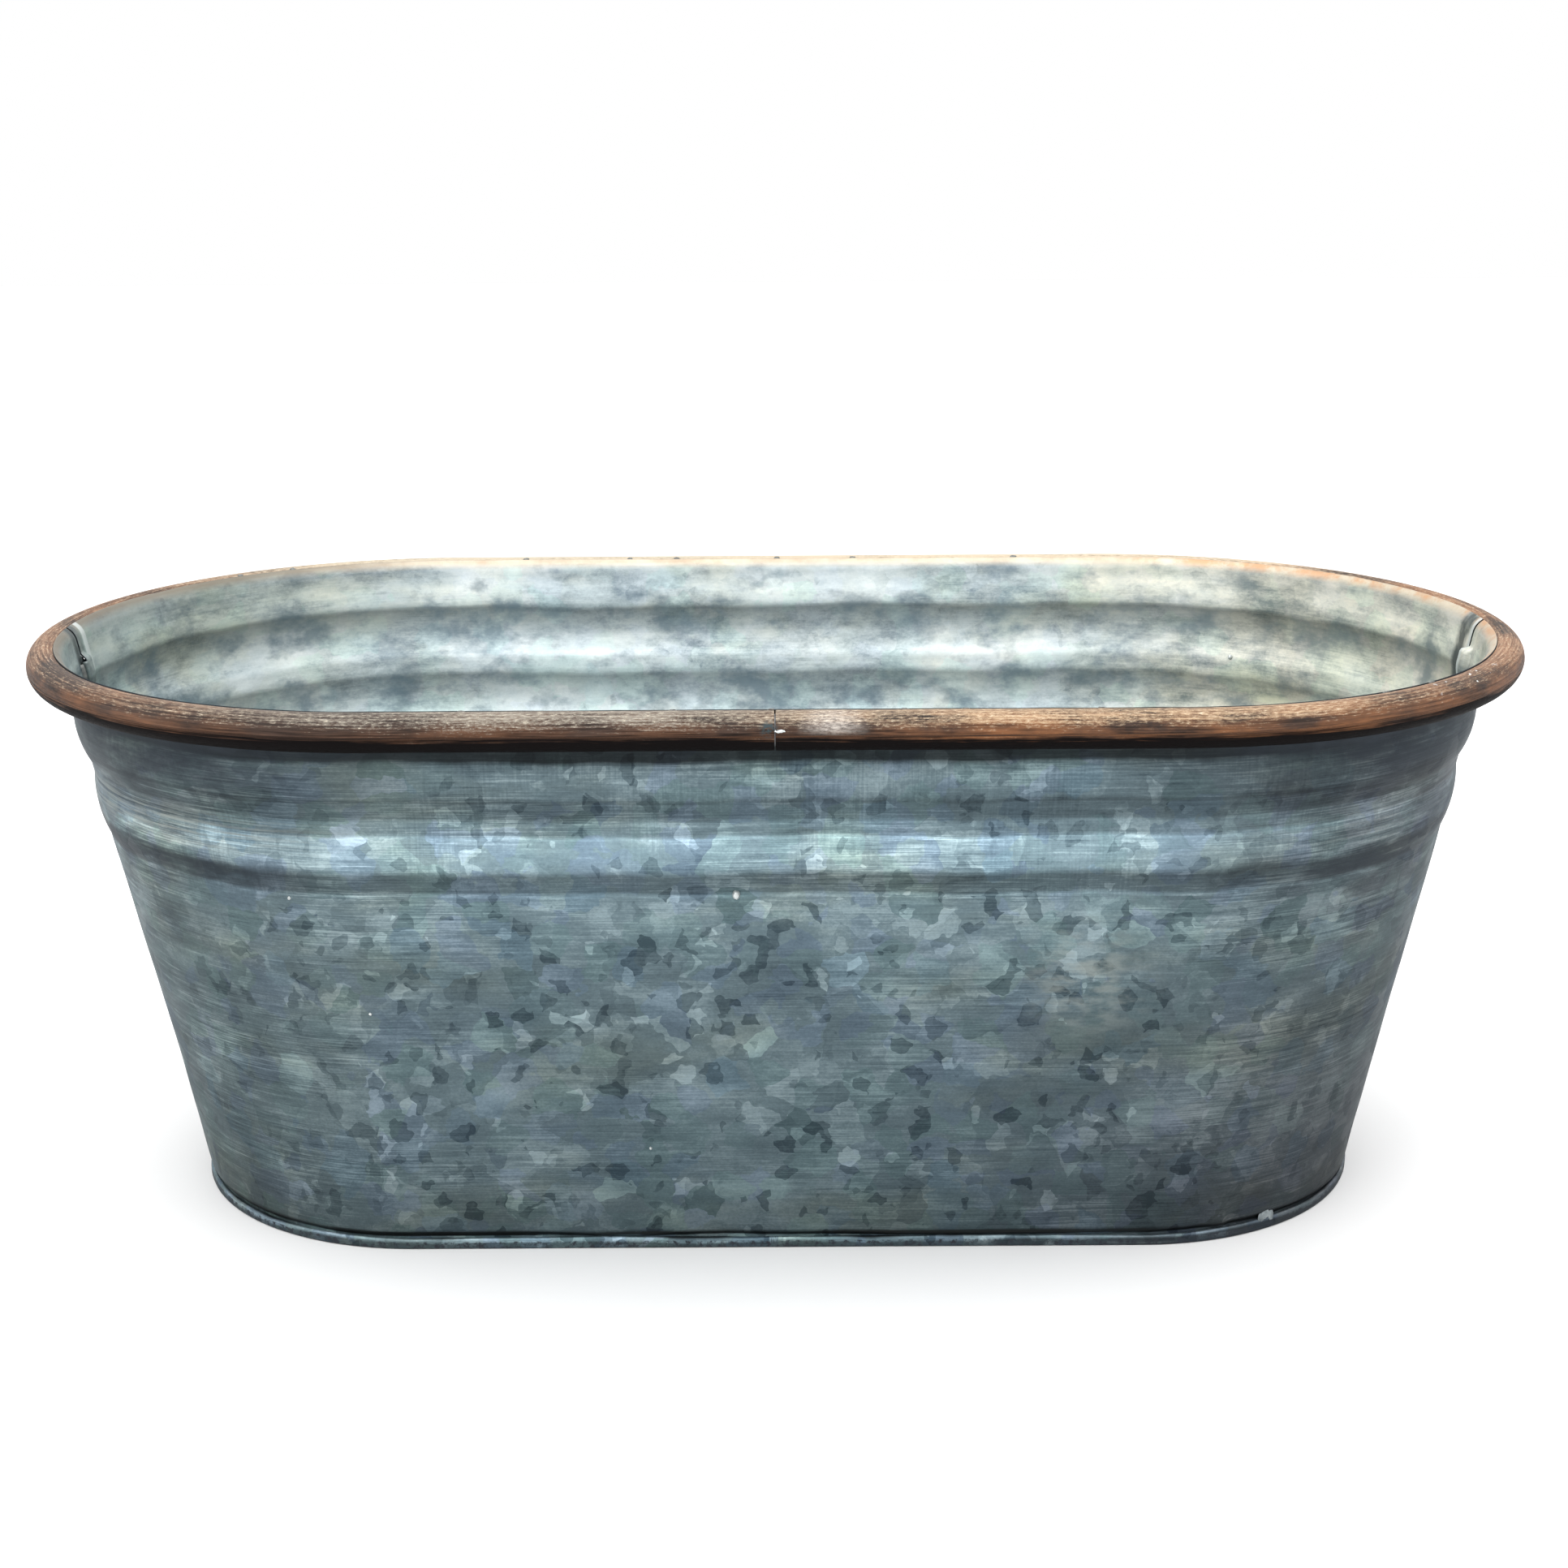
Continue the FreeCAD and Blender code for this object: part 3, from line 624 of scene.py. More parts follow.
def seam_bead(name, node, half_turn, material):
    """The fillet of solder down the inside corner of an end seam."""
    section = wall_section()
    heights = section[:, 1] / MM
    rows = section[(heights > LOCK_LOW + 2.5) & (heights < LOCK_HIGH - 3)]
    normals = right_hand_normals(rows)
    leg, turns = 0.85, 9
    points = []
    for radius_height, normal in zip(rows, normals):
        wander = 1 + 0.35 * ripple(np.array([[0.3, 0.1, radius_height[1]]]), 0.02, 95)[0]
        ring = []
        for share in np.linspace(0, 1, turns):
            bulged = math.sin(math.pi * share) * 0.12 * wander
            across = 2.85 + (leg * wander + bulged) * share
            deep = 0.42 + (leg * wander + bulged) * (1 - share)
            level = radius_height - normal * (deep - 0.25) * MM
            ring.append((HALF_RUN + level[0], across * MM, level[1]))
        corner = radius_height - normal * 0.1 * MM
        ring.append((HALF_RUN + corner[0], 2.8 * MM, corner[1]))
        points.append(ring)
    points = np.array(points)
    if half_turn:
        points = points * (-1, -1, 1)
    points = settled(dented(points))
    count = turns + 1
    faces = grid_faces(len(points), count, closed=True)
    last = (len(points) - 1) * count
    faces.append(tuple(range(count))[::-1])
    faces.append(tuple(range(last, last + count)))
    made = piece(name, points.reshape(-1, 3), faces, [material])
    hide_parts(node)


def sealant(material):
    """The bead of sealant round the inside corner, tooled by hand and so uneven."""
    stations = oval_stations(3 * MM)
    outline = [(78.4, 5.55), (79.2, 6.0), (80.2, 6.75), (81.2, 7.6), (82.1, 8.35), (82.75, 8.6),
               (82.4, 7.2), (81.9, 6.1), (81.1, 5.2), (80.7, 4.9), (80.1, 5.35), (79.3, 5.5)]
    points = sweep(stations, np.array(outline) * MM)
    proud = np.array([0.2, 0.7, 1, 1, 0.6, 0.1, 0, 0, 0, 0, 0, 0])[:, None]
    push = (ripple(points, 0.03, seed=81) * 0.16 + 0.05) * proud * MM
    points = points - outward(points) * push[..., None]
    points[..., 2] += push
    faces = grid_faces(len(outline), len(stations), closed=True, closed_rows=True)
    faces = [(face[0], face[3], face[2], face[1]) for face in faces]
    made = piece("corner_sealant", points.reshape(-1, 3), faces, [material])
    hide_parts("foot_sealant")


def wall_spot(x, height, front):
    """A point on the front wall's outer or the rear wall's inner face, and the way it faces."""
    line = wall_section()
    above_foot = line[40:]
    radius = float(np.interp(height * MM, above_foot[:, 1], above_foot[:, 0]))
    base = min(max(x * MM, -HALF_RUN), HALF_RUN)
    across = (x * MM - base) / radius
    deep = math.sqrt(1 - across**2)
    outside = (across, -deep if front else deep)
    way = 1 if front else -1
    reach = radius + way * SHEET / 2
    place = (base + outside[0] * reach, outside[1] * reach, height * MM)
    return place, (way * outside[0], way * outside[1], -0.15 * way)


def zinc_drips():
    """Small pimples of zinc: four on the front wall and one inside on the rear one."""
    spots = [(-12.2, 131.6, 1.5, True), (-41, 41.5, 0.55, True), (-150, 130, 0.7, True)]
    spots += [(-128, 90, 0.6, True), (174, 158, 1.0, False)]
    blobs = []
    for number, (x, height, size, front) in enumerate(spots):
        base, facing = wall_spot(x, height, front)
        extent = np.array([size, size * 0.85, size * 1.1]) * MM
        blobs.append(lump(base, extent, facing, seed=110 + number, rough=0.12, detail=3))
    return blobs


def foot_splash(material):
    """The lump of solder that bridges the foot seam on the right front bend."""
    blobs = []
    spots = ((31, 5.6, 1.9, 120), (29.6, 4.6, 1.5, 123), (32.6, 4.5, 1.3, 126))
    for turn, height, width, seed in spots:
        angle = math.radians(-90 + turn)
        reach = 83.05 * MM
        centre = (HALF_RUN + math.cos(angle) * reach, math.sin(angle) * reach, height * MM)
        facing = (math.cos(angle), math.sin(angle), 0.1)
        size = np.array([1.8, width * 0.85, 0.34]) * MM
        blobs.append(lump(centre, size, facing, seed, rough=0.16))
    lumps("foot_seam_splash", blobs, material, "solder", "foot_seam_solder")


# ---- materials ------------------------------------------------------------------------


class Finish:
    """A material's node tree, with short calls for the nodes that the materials share.

    body is the place in the tub, in metres, and side, back and height are its three numbers.
    """

    def __init__(self, name):
        self.material = bpy.data.materials.new(name)
        self.material.use_nodes = True
        self.tree = self.material.node_tree
        self.shader = self.tree.nodes["Principled BSDF"]
        self.body = self.make("TexCoord", {}, "Object")
        self.side, self.back, self.height = (self.separate(self.body, axis) for axis in range(3))
        self.either_side = self.math("ABSOLUTE", self.side)
        self.colour = None

    def put(self, value, socket):
        if isinstance(value, bpy.types.NodeSocket):
            self.tree.links.new(value, socket)
        else:
            socket.default_value = value

    def make(self, kind, inputs, output=0, **settings):
        """Adds a node with its inputs and settings, and returns one of its outputs."""
        node = self.tree.nodes.new(f"ShaderNode{kind}")
        for name, value in settings.items():
            setattr(node, name, value)
        for name, value in inputs.items():
            self.put(value, node.inputs[name])
        return node.outputs[output]

    def surface(self):
        """Coordinates on the sheet or tube, in metres: along it, then across it."""
        return self.make("UVMap", {}, "UV", uv_map="surface")

    def facing(self):
        return self.make("NewGeometry", {}, "Normal")

    def stretched(self, vector, scale, shift=(0, 0, 0)):
        return self.make("Mapping", {"Vector": vector, "Scale": scale, "Location": shift})

    def noise(self, vector, scale, detail=3.0, roughness=0.55, stretch=None, output="Fac"):
        if stretch is not None:
            vector = self.stretched(vector, stretch)
        inputs = {"Vector": vector, "Scale": scale, "Detail": detail, "Roughness": roughness}
        return self.make("TexNoise", inputs, output)

    def cells(self, vector, scale):
        """Three random numbers for each cell of a pattern of cells."""
        return self.make("TexVoronoi", {"Vector": vector, "Scale": scale}, "Color")

    def math(self, operation, first, second=0.5, clamp=False):
        return self.make("Math", {0: first, 1: second}, operation=operation, use_clamp=clamp)

    def product(self, first, *others):
        for other in others:
            first = self.math("MULTIPLY", first, other)
        return first

    def total(self, first, *others):
        for other in others:
            first = self.math("ADD", first, other)
        return first

    def vector_math(self, operation, first, second=(0, 0, 0)):
        inputs = {0: first, "Scale" if operation == "SCALE" else 1: second}
        output = "Value" if operation == "DISTANCE" else 0
        return self.make("VectorMath", inputs, output, operation=operation)

    def spread(self, value, low, high, to_low=0.0, to_high=1.0):
        """The value from low to high turned into to_low to to_high, and held beyond them."""
        inputs = {"Value": value, "From Min": low, "From Max": high}
        inputs |= {"To Min": to_low, "To Max": to_high}
        return self.make("MapRange", inputs)

    def sway(self, value, reach, low=0.3, high=0.7):
        """The value from low to high turned into -reach to reach."""
        return self.spread(value, low, high, -reach, reach)

    def between(self, value, start, full, fading, end):
        """0 up to the start, 1 from full to fading, and 0 again from the end."""
        return self.product(self.spread(value, start, full), self.spread(value, end, fading))

    def near(self, value, centre, inner, outer):
        """1 within the inner distance of a number, falling to 0 at the outer one."""
        away = self.math("ABSOLUTE", self.math("SUBTRACT", value, centre))
        return self.spread(away, outer, inner)

    def spot(self, place, centre, inner, outer):
        """1 within the inner distance of a point, falling to 0 at the outer one."""
        return self.spread(self.vector_math("DISTANCE", place, centre), outer, inner)

    def mix(self, share, first, second, blend="MIX"):
        inputs = {0: share, 6: first, 7: second}
        for name in (6, 7):
            if isinstance(inputs[name], tuple):
                inputs[name] = (*inputs[name], 1.0)
        return self.make("Mix", inputs, 2, data_type="RGBA", blend_type=blend)

    def paint(self, share, colour):
        """Covers the finish's colour so far with a share of another."""
        self.colour = self.mix(share, self.colour, colour)

    def tint(self, share, factors):
        """Multiplies a share of the finish's colour so far by three factors."""
        self.paint(share, self.mix(1.0, self.colour, factors, "MULTIPLY"))

    def ramp(self, value, *stops):
        result = self.make("ValToRGB", {"Fac": value}, "Color")
        elements = result.node.color_ramp.elements
        while len(elements) < len(stops):
            elements.new(0.5)
        for element, (place, level) in zip(elements, stops):
            element.position = place
            element.color = (level, level, level, 1)
        return result

    def separate(self, vector, axis):
        return self.make("SeparateXYZ", {"Vector": vector}, axis)

    def finish(self, roughness, bump=0.0, strength=0.0, distance=0.3 * MM, normal=None,
               metallic=0.0):
        inputs = {"Strength": strength, "Distance": distance, "Height": bump}
        if normal is not None:
            inputs["Normal"] = normal
        looks = {"Base Color": self.colour, "Roughness": roughness, "Metallic": metallic}
        if strength:
            looks["Normal"] = self.make("Bump", inputs)
        for name, value in looks.items():
            self.put(value, self.shader.inputs[name])
        return self.material


def painted_flakes(f, place):
    """The zinc's spangle, as a tone round zero: broad faint flakes, crisp ones and small chips."""
    warp = f.noise(place, 120, detail=2, output="Color")
    warp = f.vector_math("SCALE", f.vector_math("SUBTRACT", warp, (0.5, 0.5, 0.5)), 9 * MM)
    warped = f.vector_math("ADD", place, warp)
    broad = f.separate(f.cells(warped, 60), 0)
    cells = f.cells(warped, 105)
    chips = f.separate(f.cells(warped, 185), 1)
    small = f.separate(f.cells(warped, 320), 1)
    broad_tone = f.sway(broad, 0.10, 0.0, 1.0)
    flake_stops = ((0.0, 0.31), (0.06, 0.37), (0.066, 0.45),
                   (0.94, 0.54), (0.95, 0.63), (1.0, 0.70))
    chip_stops = ((0.0, 0.14), (0.07, 0.27), (0.076, 0.50),
                  (0.962, 0.50), (0.968, 0.68), (1.0, 0.8))
    small_stops = ((0.0, 0.16), (0.07, 0.30), (0.076, 0.50),
                   (0.975, 0.50), (0.98, 0.70), (1.0, 0.8))
    flake_tone = f.ramp(f.separate(cells, 0), *flake_stops)
    chip_tone = f.ramp(chips, *chip_stops)
    small_tone = f.math("SUBTRACT", f.ramp(small, *small_stops), 0.5)
    gathered = f.spread(f.noise(place, 26, detail=2), 0.42, 0.6)
    crisp_tone = f.math("SUBTRACT", f.total(flake_tone, chip_tone), 1.0)
    return f.total(broad_tone, crisp_tone, f.product(small_tone, gathered)), cells


def brushing(f, place):
    """Fine strokes along the sheet, as a tone round zero, gathered in some places."""
    fine = f.noise(place, 1, detail=3, roughness=0.7, stretch=(34, 2100, 1))
    longer = f.noise(place, 1, detail=5, roughness=0.72, stretch=(40, 820, 1))
    where = f.noise(place, 13, detail=3, stretch=(1, 3.5, 1))
    tone = f.total(f.sway(fine, 0.12), f.sway(longer, 0.11))
    return f.product(tone, f.spread(where, 0.36, 0.64, 0.25, 1.5)), fine


def zinc_tone(f, place, on_bend, spangle, streaks, flakes, clouds, rolled):
    """How light or dark the zinc is at each place, round a middle of 0.5."""
    in_ribs = f.between(f.height, 0.128, 0.132, 0.176, 0.184)
    flake_share = f.spread(on_bend, 0, 1, flakes, 0.5 * flakes)
    flake_share = f.product(flake_share, f.spread(in_ribs, 0, 1, 1, 0.7))
    cloud = f.noise(place, 17, detail=6, roughness=0.62, stretch=(1, 1.6, 1))
    smudge = f.noise(place, 42, detail=6, roughness=0.68, stretch=(1, 2.4, 1))
    strokes, fine = brushing(f, place)
    grain = f.noise(place, 950, detail=2, roughness=0.7, stretch=(1, 1.3, 1))
    dry = f.noise(place, 1, detail=4, roughness=0.7, stretch=(30, 760, 1))
    worked = f.math("MAXIMUM", f.product(in_ribs, 0.6), on_bend)
    stroke_share = f.total(f.spread(on_bend, 0, 1, 0.85, 1.5), f.product(in_ribs, 0.35))
    roll_marks = f.sway(f.noise(place, 1, detail=1, stretch=(1400, 70, 1)), 0.05)
    roll_place = f.spread(f.noise(place, 22, detail=1), 0.45, 0.6)
    tone = f.total(
        f.product(spangle, flake_share),
        f.sway(cloud, 0.2 * clouds),
        f.sway(smudge, 0.13 * clouds, 0.34, 0.66),
        f.sway(grain, 0.055),
        f.product(f.spread(dry, 0.58, 0.70, 0, 0.30 * streaks), worked),
        f.product(strokes, f.product(stroke_share, streaks)),
        f.product(roll_marks, in_ribs, roll_place, rolled),
        0.5)
    return tone, cloud, fine


def shade_and_highlight_bands(f, place, bands):
    """Painted highlight and shade by height: makes the colour paler or darker, from pairs of mm
    and paleness.
    """
    top, palest = 200, 4.0
    wander = f.noise(place, 18, detail=3, stretch=(1, 0.2, 1))
    wandered = f.total(f.height, f.sway(wander, 1.1 * MM))
    stops = [(level / top, paleness / palest) for level, paleness in bands]
    paleness = f.product(f.ramp(f.product(wandered, 1 / (top * MM)), *stops), palest)
    f.colour = f.vector_math("SCALE", f.colour, paleness)


def zinc(name, dark, middle, light, seed, streaks, flakes, clouds, bands, rolled):
    """Aged hot-dip zinc: spangle, clouds of patina, brushing, and painted highlights and shade
    lying in bands by height.

    Returns the finish, coloured, with its roughness, relief and normal.
    """
    f = Finish(name)
    place = f.stretched(f.surface(), (1, 1, 1), (seed, seed * 0.37, seed * 0.71))
    on_bend = f.spread(f.either_side, 0.10, 0.19)
    spangle, cells = painted_flakes(f, place)
    tone, cloud, fine = zinc_tone(f, place, on_bend, spangle, streaks, flakes, clouds, rolled)
    f.colour = f.mix(f.spread(tone, 0.1, 0.5), dark, middle)
    f.paint(f.spread(tone, 0.5, 0.95), light)
    # painted highlights and shade in bands by height
    shade_and_highlight_bands(f, place, bands)

    cell_gloss, cell_hue = f.separate(cells, 1), f.separate(cells, 2)
    f.tint(f.spread(cell_hue, 0.55, 0.9, 0, 0.5), (0.88, 1.02, 0.96))
    warmth = f.noise(place, 15, detail=4, stretch=(1, 2.2, 1))
    warmth = f.total(f.spread(warmth, 0.50, 0.66, 0, 0.6), f.product(on_bend, 0.35 * streaks))
    f.tint(warmth, (1.13, 1.03, 0.86))
    f.tint(f.spread(cell_gloss, 0.72, 0.8, 0, 0.7 * streaks), (0.98, 0.99, 1.14))

    roughness = f.spread(cell_gloss, 0, 1, 0.40, 0.54)
    roughness = f.total(roughness, f.spread(fine, 0.3, 0.7, -0.05, 0.07))
    tilt = f.vector_math("SCALE", f.vector_math("SUBTRACT", cells, (0.5, 0.5, 0.5)), 0.04)
    normal = f.vector_math("ADD", f.facing(), tilt)
    normal = f.vector_math("NORMALIZE", normal)
    relief = f.total(f.product(fine, 0.35), cloud)
    return f, roughness, relief, normal


def right_side_shade(f):
    """Painted shade: the outside's darker lower right and right end of the ribs, where less light
    falls.
    """
    low_right = f.product(f.spread(f.side, 0.03, 0.16), f.spread(f.height, 0.11, 0.03))
    f.tint(low_right, (0.68, 0.60, 0.62))
    right_end = f.spread(f.side, 0.13, 0.19)
    right_end = f.product(right_end, f.spread(f.height, 0.12, 0.14, 0.25, 0.85))
    f.tint(right_end, (0.52, 0.50, 0.53))


def foot_gap_shadow(f):
    """Painted shadow in the dark gap that opens here and there over the foot seam."""
    opened = f.spread(f.noise(f.body, 30, detail=3, stretch=(1, 1, 0)), 0.44, 0.56)
    in_gap = f.between(f.height, 0.0040, 0.0044, 0.0058, 0.0066)
    f.paint(f.product(opened, in_gap), (0.010, 0.012, 0.012))


def pale_patch(f):
    """The one pale, dry patch on the front wall."""
    mottle = f.noise(f.body, 110, detail=5, stretch=(1, 1, 2.5))
    share = f.spot(f.body, (0.097, -0.101, 0.102), 0.0, 0.026)
    share = f.product(share, f.spread(mottle, 0.44, 0.62, 0, 0.75))
    f.paint(share, (0.24, 0.27, 0.255))


def end_shade_and_highlights(f):
    """Painted shade and light at the ends: darker ends, the shadow under their rim, and painted
    shade and highlight as dark and pale rib bands.
    """
    smudge = f.noise(f.body, 32, detail=5, roughness=0.65, stretch=(1, 1, 3.2))
    # painted shade: the ends darker, mottled
    end = f.math("MAXIMUM", f.spread(f.side, 0.095, 0.19), f.spread(f.side, -0.11, -0.215))
    end = f.product(end, f.spread(f.height, 0.10, 0.135, 0.45, 1.0))
    end = f.math("MULTIPLY", end, f.spread(smudge, 0.36, 0.64, 1.35, 0.45), clamp=True)
    f.tint(end, (0.33, 0.32, 0.35))
    rim_shadow = f.product(f.spread(f.either_side, 0.10, 0.17), f.spread(f.height, 0.160, 0.172))
    rim_shadow = f.product(rim_shadow, f.spread(smudge, 0.36, 0.64, 1.0, 0.4))
    f.paint(rim_shadow, (0.022, 0.028, 0.036))
    on_bend = f.spread(f.either_side, 0.12, 0.18)
    # painted shade under the lower rib on the bends
    dark = f.product(f.between(f.height, 0.130, 0.134, 0.138, 0.143), on_bend)
    dark = f.product(dark, f.spread(smudge, 0.62, 0.42, 0.1, 0.85))
    f.paint(dark, (0.016, 0.022, 0.028))
    # painted highlight, streaked, over the lower rib on the bends
    strokes = f.noise(f.surface(), 1, detail=5, roughness=0.72, stretch=(24, 950, 1))
    pale = f.product(f.between(f.height, 0.142, 0.147, 0.152, 0.158), on_bend)
    pale = f.product(pale, f.spread(f.side, -0.1, 0.1, 0.6, 0.15), f.spread(strokes, 0.46, 0.60))
    f.paint(pale, (0.30, 0.325, 0.30))


# Painted highlight and shade of the zinc by height in mm, as paleness where 1 is no change: foot
# seam, wall, crease and lower rib,
# groove, upper rib and throat. Outside: painted shadow in the gap over the foot seam and under the
# rim, painted highlight on the seam's top fold, light and shade over the ribs.
OUTSIDE_BANDS = (
    (0, 0.6), (2.9, 0.7), (3.3, 2.9), (3.8, 2.9), (4.1, 0.10), (5.6, 0.14), (6.8, 0.75),
    (30, 0.98), (70, 1.03), (105, 1.05), (118, 1.3),
    (130.8, 1.42), (131.6, 2.1), (132.4, 0.95), (138.4, 0.80), (141.0, 2.3),
    (150.2, 3.0), (151.0, 3.6), (151.8, 1.45), (156.0, 1.65), (157.2, 0.95),
    (163.0, 0.85), (163.6, 0.40), (164.3, 1.0), (171, 1.3), (174.8, 1.1), (176.6, 0.12))
# Inside: painted shade low on the pan and the foot, and painted light and shade over the ribs and
# under the lap.
INSIDE_BANDS = (
    (0, 0.6), (7, 0.62), (12, 1.1), (60, 1.2),
    (135, 1.35), (141, 1.05), (148, 0.72), (150.4, 0.62), (151.2, 1.0), (153, 1.08),
    (164, 1.05), (170, 0.75), (175.4, 0.52), (176.4, 1.05), (182, 1.28), (187, 1.08), (190, 0.82))


def zinc_outside():
    dark, middle, light = (0.026, 0.042, 0.052), (0.086, 0.122, 0.137), (0.25, 0.32, 0.34)
    f, roughness, relief, normal = zinc(
        "zinc_outside", dark, middle, light, seed=1.3, streaks=1.0, flakes=0.85, clouds=0.75,
        bands=OUTSIDE_BANDS, rolled=1.0)
    right_side_shade(f)
    foot_gap_shadow(f)
    pale_patch(f)
    end_shade_and_highlights(f)
    grit = f.spread(f.noise(f.body, 420, detail=4, roughness=0.7), 0.48, 0.60)
    on_seam_face = f.spread(f.height, 0.0030, 0.0026)
    f.paint(f.product(grit, on_seam_face), (0.03, 0.034, 0.042))
    f.shader.inputs["Specular Tint"].default_value = (0.45, 0.48, 0.5, 1.0)
    return f.finish(roughness, relief, 0.22, normal=normal, metallic=0.6)


def inside_patches(f):
    """Dark blotches, most of them on the ridges, cream ones, and the tone from end to end."""
    upper_ridge = f.between(f.height, 0.160, 0.167, 0.174, 0.184)
    lower_ridge = f.between(f.height, 0.132, 0.139, 0.149, 0.157)
    ridges = f.math("MAXIMUM", upper_ridge, lower_ridge)
    blotches = f.noise(f.body, 58, detail=5, roughness=0.6, stretch=(1, 1, 1.5))
    blotches = f.total(blotches, f.spread(ridges, 0, 1, -0.05, 0.04))
    f.paint(f.spread(blotches, 0.50, 0.68, 0, 0.78), (0.12, 0.175, 0.215))
    cream = f.spread(f.noise(f.body, 38, detail=5, roughness=0.6), 0.48, 0.64, 0, 0.35)
    f.tint(cream, (1.08, 1.01, 0.90))
    to_left = f.spread(f.side, -0.12, -0.21)
    to_left = f.product(to_left, f.spread(f.height, 0.150, 0.180, 0.45, 1.0))
    f.tint(to_left, (0.61, 0.63, 0.60))
    f.tint(f.spread(f.side, 0.11, 0.19), (1.13, 1.0, 0.86))


def seam_shade_and_glint(f):
    """Where the inside has a dark patch beside each end seam, partly grime and partly painted
    shade, and a painted highlight along it.
    """
    in_end = f.spread(f.either_side, 0.17, 0.19)
    at_seam = f.product(in_end, f.spread(f.height, 0.007, 0.009))
    dark_place = f.spread(f.side, -0.1, 0.1, 0.0, 0.0085)
    bright_place = f.spread(f.side, -0.1, 0.1, 0.0078, 0.0014)
    dark = f.product(f.near(f.back, dark_place, 0.0034, 0.0062), at_seam)
    bright = f.product(f.near(f.back, bright_place, 0.0012, 0.0021), at_seam)
    return dark, bright


def lap_stain(f):
    """Colour of the lap over the rim: tan, orange towards the right and brown at the left."""
    stain = f.noise(f.body, 55, detail=6, roughness=0.7)
    tan = f.mix(f.spread(stain, 0.35, 0.62), (0.50, 0.44, 0.34), (0.38, 0.29, 0.20))
    orange_place = f.product(f.spread(f.side, 0.13, 0.16), f.spread(stain, 0.44, 0.56, 0, 0.8))
    tan = f.mix(orange_place, tan, (0.46, 0.24, 0.11))
    return f.mix(f.spread(f.side, -0.12, -0.19, 0, 0.9), tan, (0.12, 0.105, 0.08))


def zinc_inside():
    dark, middle, light = (0.13, 0.175, 0.205), (0.45, 0.515, 0.535), (0.68, 0.73, 0.735)
    f, roughness, relief, normal = zinc(
        "zinc_inside", dark, middle, light, seed=7.9, streaks=0.25, flakes=0.35, clouds=1.5,
        bands=INSIDE_BANDS, rolled=0.3)
    inside_patches(f)
    seam, glint = seam_shade_and_glint(f)
    patchy = f.spread(f.noise(f.body, 130, detail=4, stretch=(1, 1, 0.5)), 0.38, 0.56, 0.3, 0.9)
    # painted shade with some grime beside the end seams
    f.paint(f.product(seam, patchy), (0.035, 0.045, 0.045))
    on_lap = f.spread(f.height, 0.1898, 0.1922)
    beside_seam = f.math("SUBTRACT", 1.0, seam)
    f.paint(f.product(on_lap, beside_seam, 0.9), lap_stain(f))
    # painted highlight along the end seams
    f.paint(f.product(glint, 0.75), (0.52, 0.56, 0.55))
    return f.finish(roughness, relief, 0.25, normal=normal, metallic=0.5)


def rim_coat(f, up, warm, speckle, strokes, patches):
    """The rim's brown, rusty in patches, and speckled tan where it faces up, which is partly wear
    and partly a painted highlight on top.
    """
    brown = f.mix(f.spread(strokes, 0.32, 0.68), (0.010, 0.008, 0.007), (0.075, 0.045, 0.033))
    rusty = f.product(f.spread(patches, 0.42, 0.6), f.spread(warm, 0, 1, 0.25, 0.8))
    rusty = f.product(rusty, f.spread(strokes, 0.3, 0.6, 0.4, 1))
    brown = f.mix(rusty, brown, (0.27, 0.112, 0.046))
    at_end = f.spread(f.either_side, 0.13, 0.20)
    at_rear = f.spread(f.back, 0.06, 0.115)
    # wear and painted highlight: tan where the tube faces up, more on the rear
    worn_and_lit = f.total(
        f.spread(up, 0.1, 0.7, -0.1, 0.6),
        f.sway(speckle, 0.36, 0.36, 0.64),
        f.spread(patches, 0.3, 0.7, -0.3, 0.2),
        f.sway(strokes, 0.25, 0.35, 0.65))
    worn_and_lit = f.math("SUBTRACT", worn_and_lit, f.product(at_end, 0.22))
    worn_and_lit = f.total(worn_and_lit, f.product(at_rear, 0.45))
    tan = f.mix(warm, (0.26, 0.24, 0.20), (0.44, 0.315, 0.195))
    tan = f.mix(f.product(at_end, 0.6), tan, (0.25, 0.155, 0.10))
    tan = f.mix(f.product(at_rear, 0.8), tan, (0.50, 0.43, 0.32))
    tan = f.mix(f.spread(speckle, 0.55, 0.68, 0, 0.75), tan, (0.70, 0.62, 0.48))
    return f.mix(f.product(f.spread(worn_and_lit, 0.2, 0.85), 0.9), brown, tan)


def rim_marks(f, up, speckle):
    """A pale patch of painted highlight and a dark star near the joint, and white chips at the
    front right.
    """
    # painted highlight: a pale sheen on the top of the tube right of the joint
    painted_sheen = f.spot(f.body, (0.017, -0.1278, 0.1885), 0.0, 0.011)
    painted_sheen = f.product(painted_sheen, f.spread(speckle, 0.36, 0.6, 0.1, 0.75), f.spread(up, -0.05, 0.3))
    f.paint(painted_sheen, (0.66, 0.60, 0.54))
    star = f.spot(f.body, (-0.0018, -0.1282, 0.1893), 0.0012, 0.0032)
    star = f.product(star, f.spread(f.noise(f.body, 700, detail=2), 0.42, 0.55))
    f.paint(star, (0.035, 0.05, 0.055))
    chips = f.spread(f.noise(f.body, 330, detail=2), 0.66, 0.69)
    chipped = f.spot(f.body, (0.214, -0.082, 0.192), 0.010, 0.024)
    chipped = f.product(chipped, f.spread(up, 0.3, 0.5))
    f.paint(f.product(chips, chipped), (0.62, 0.64, 0.62))


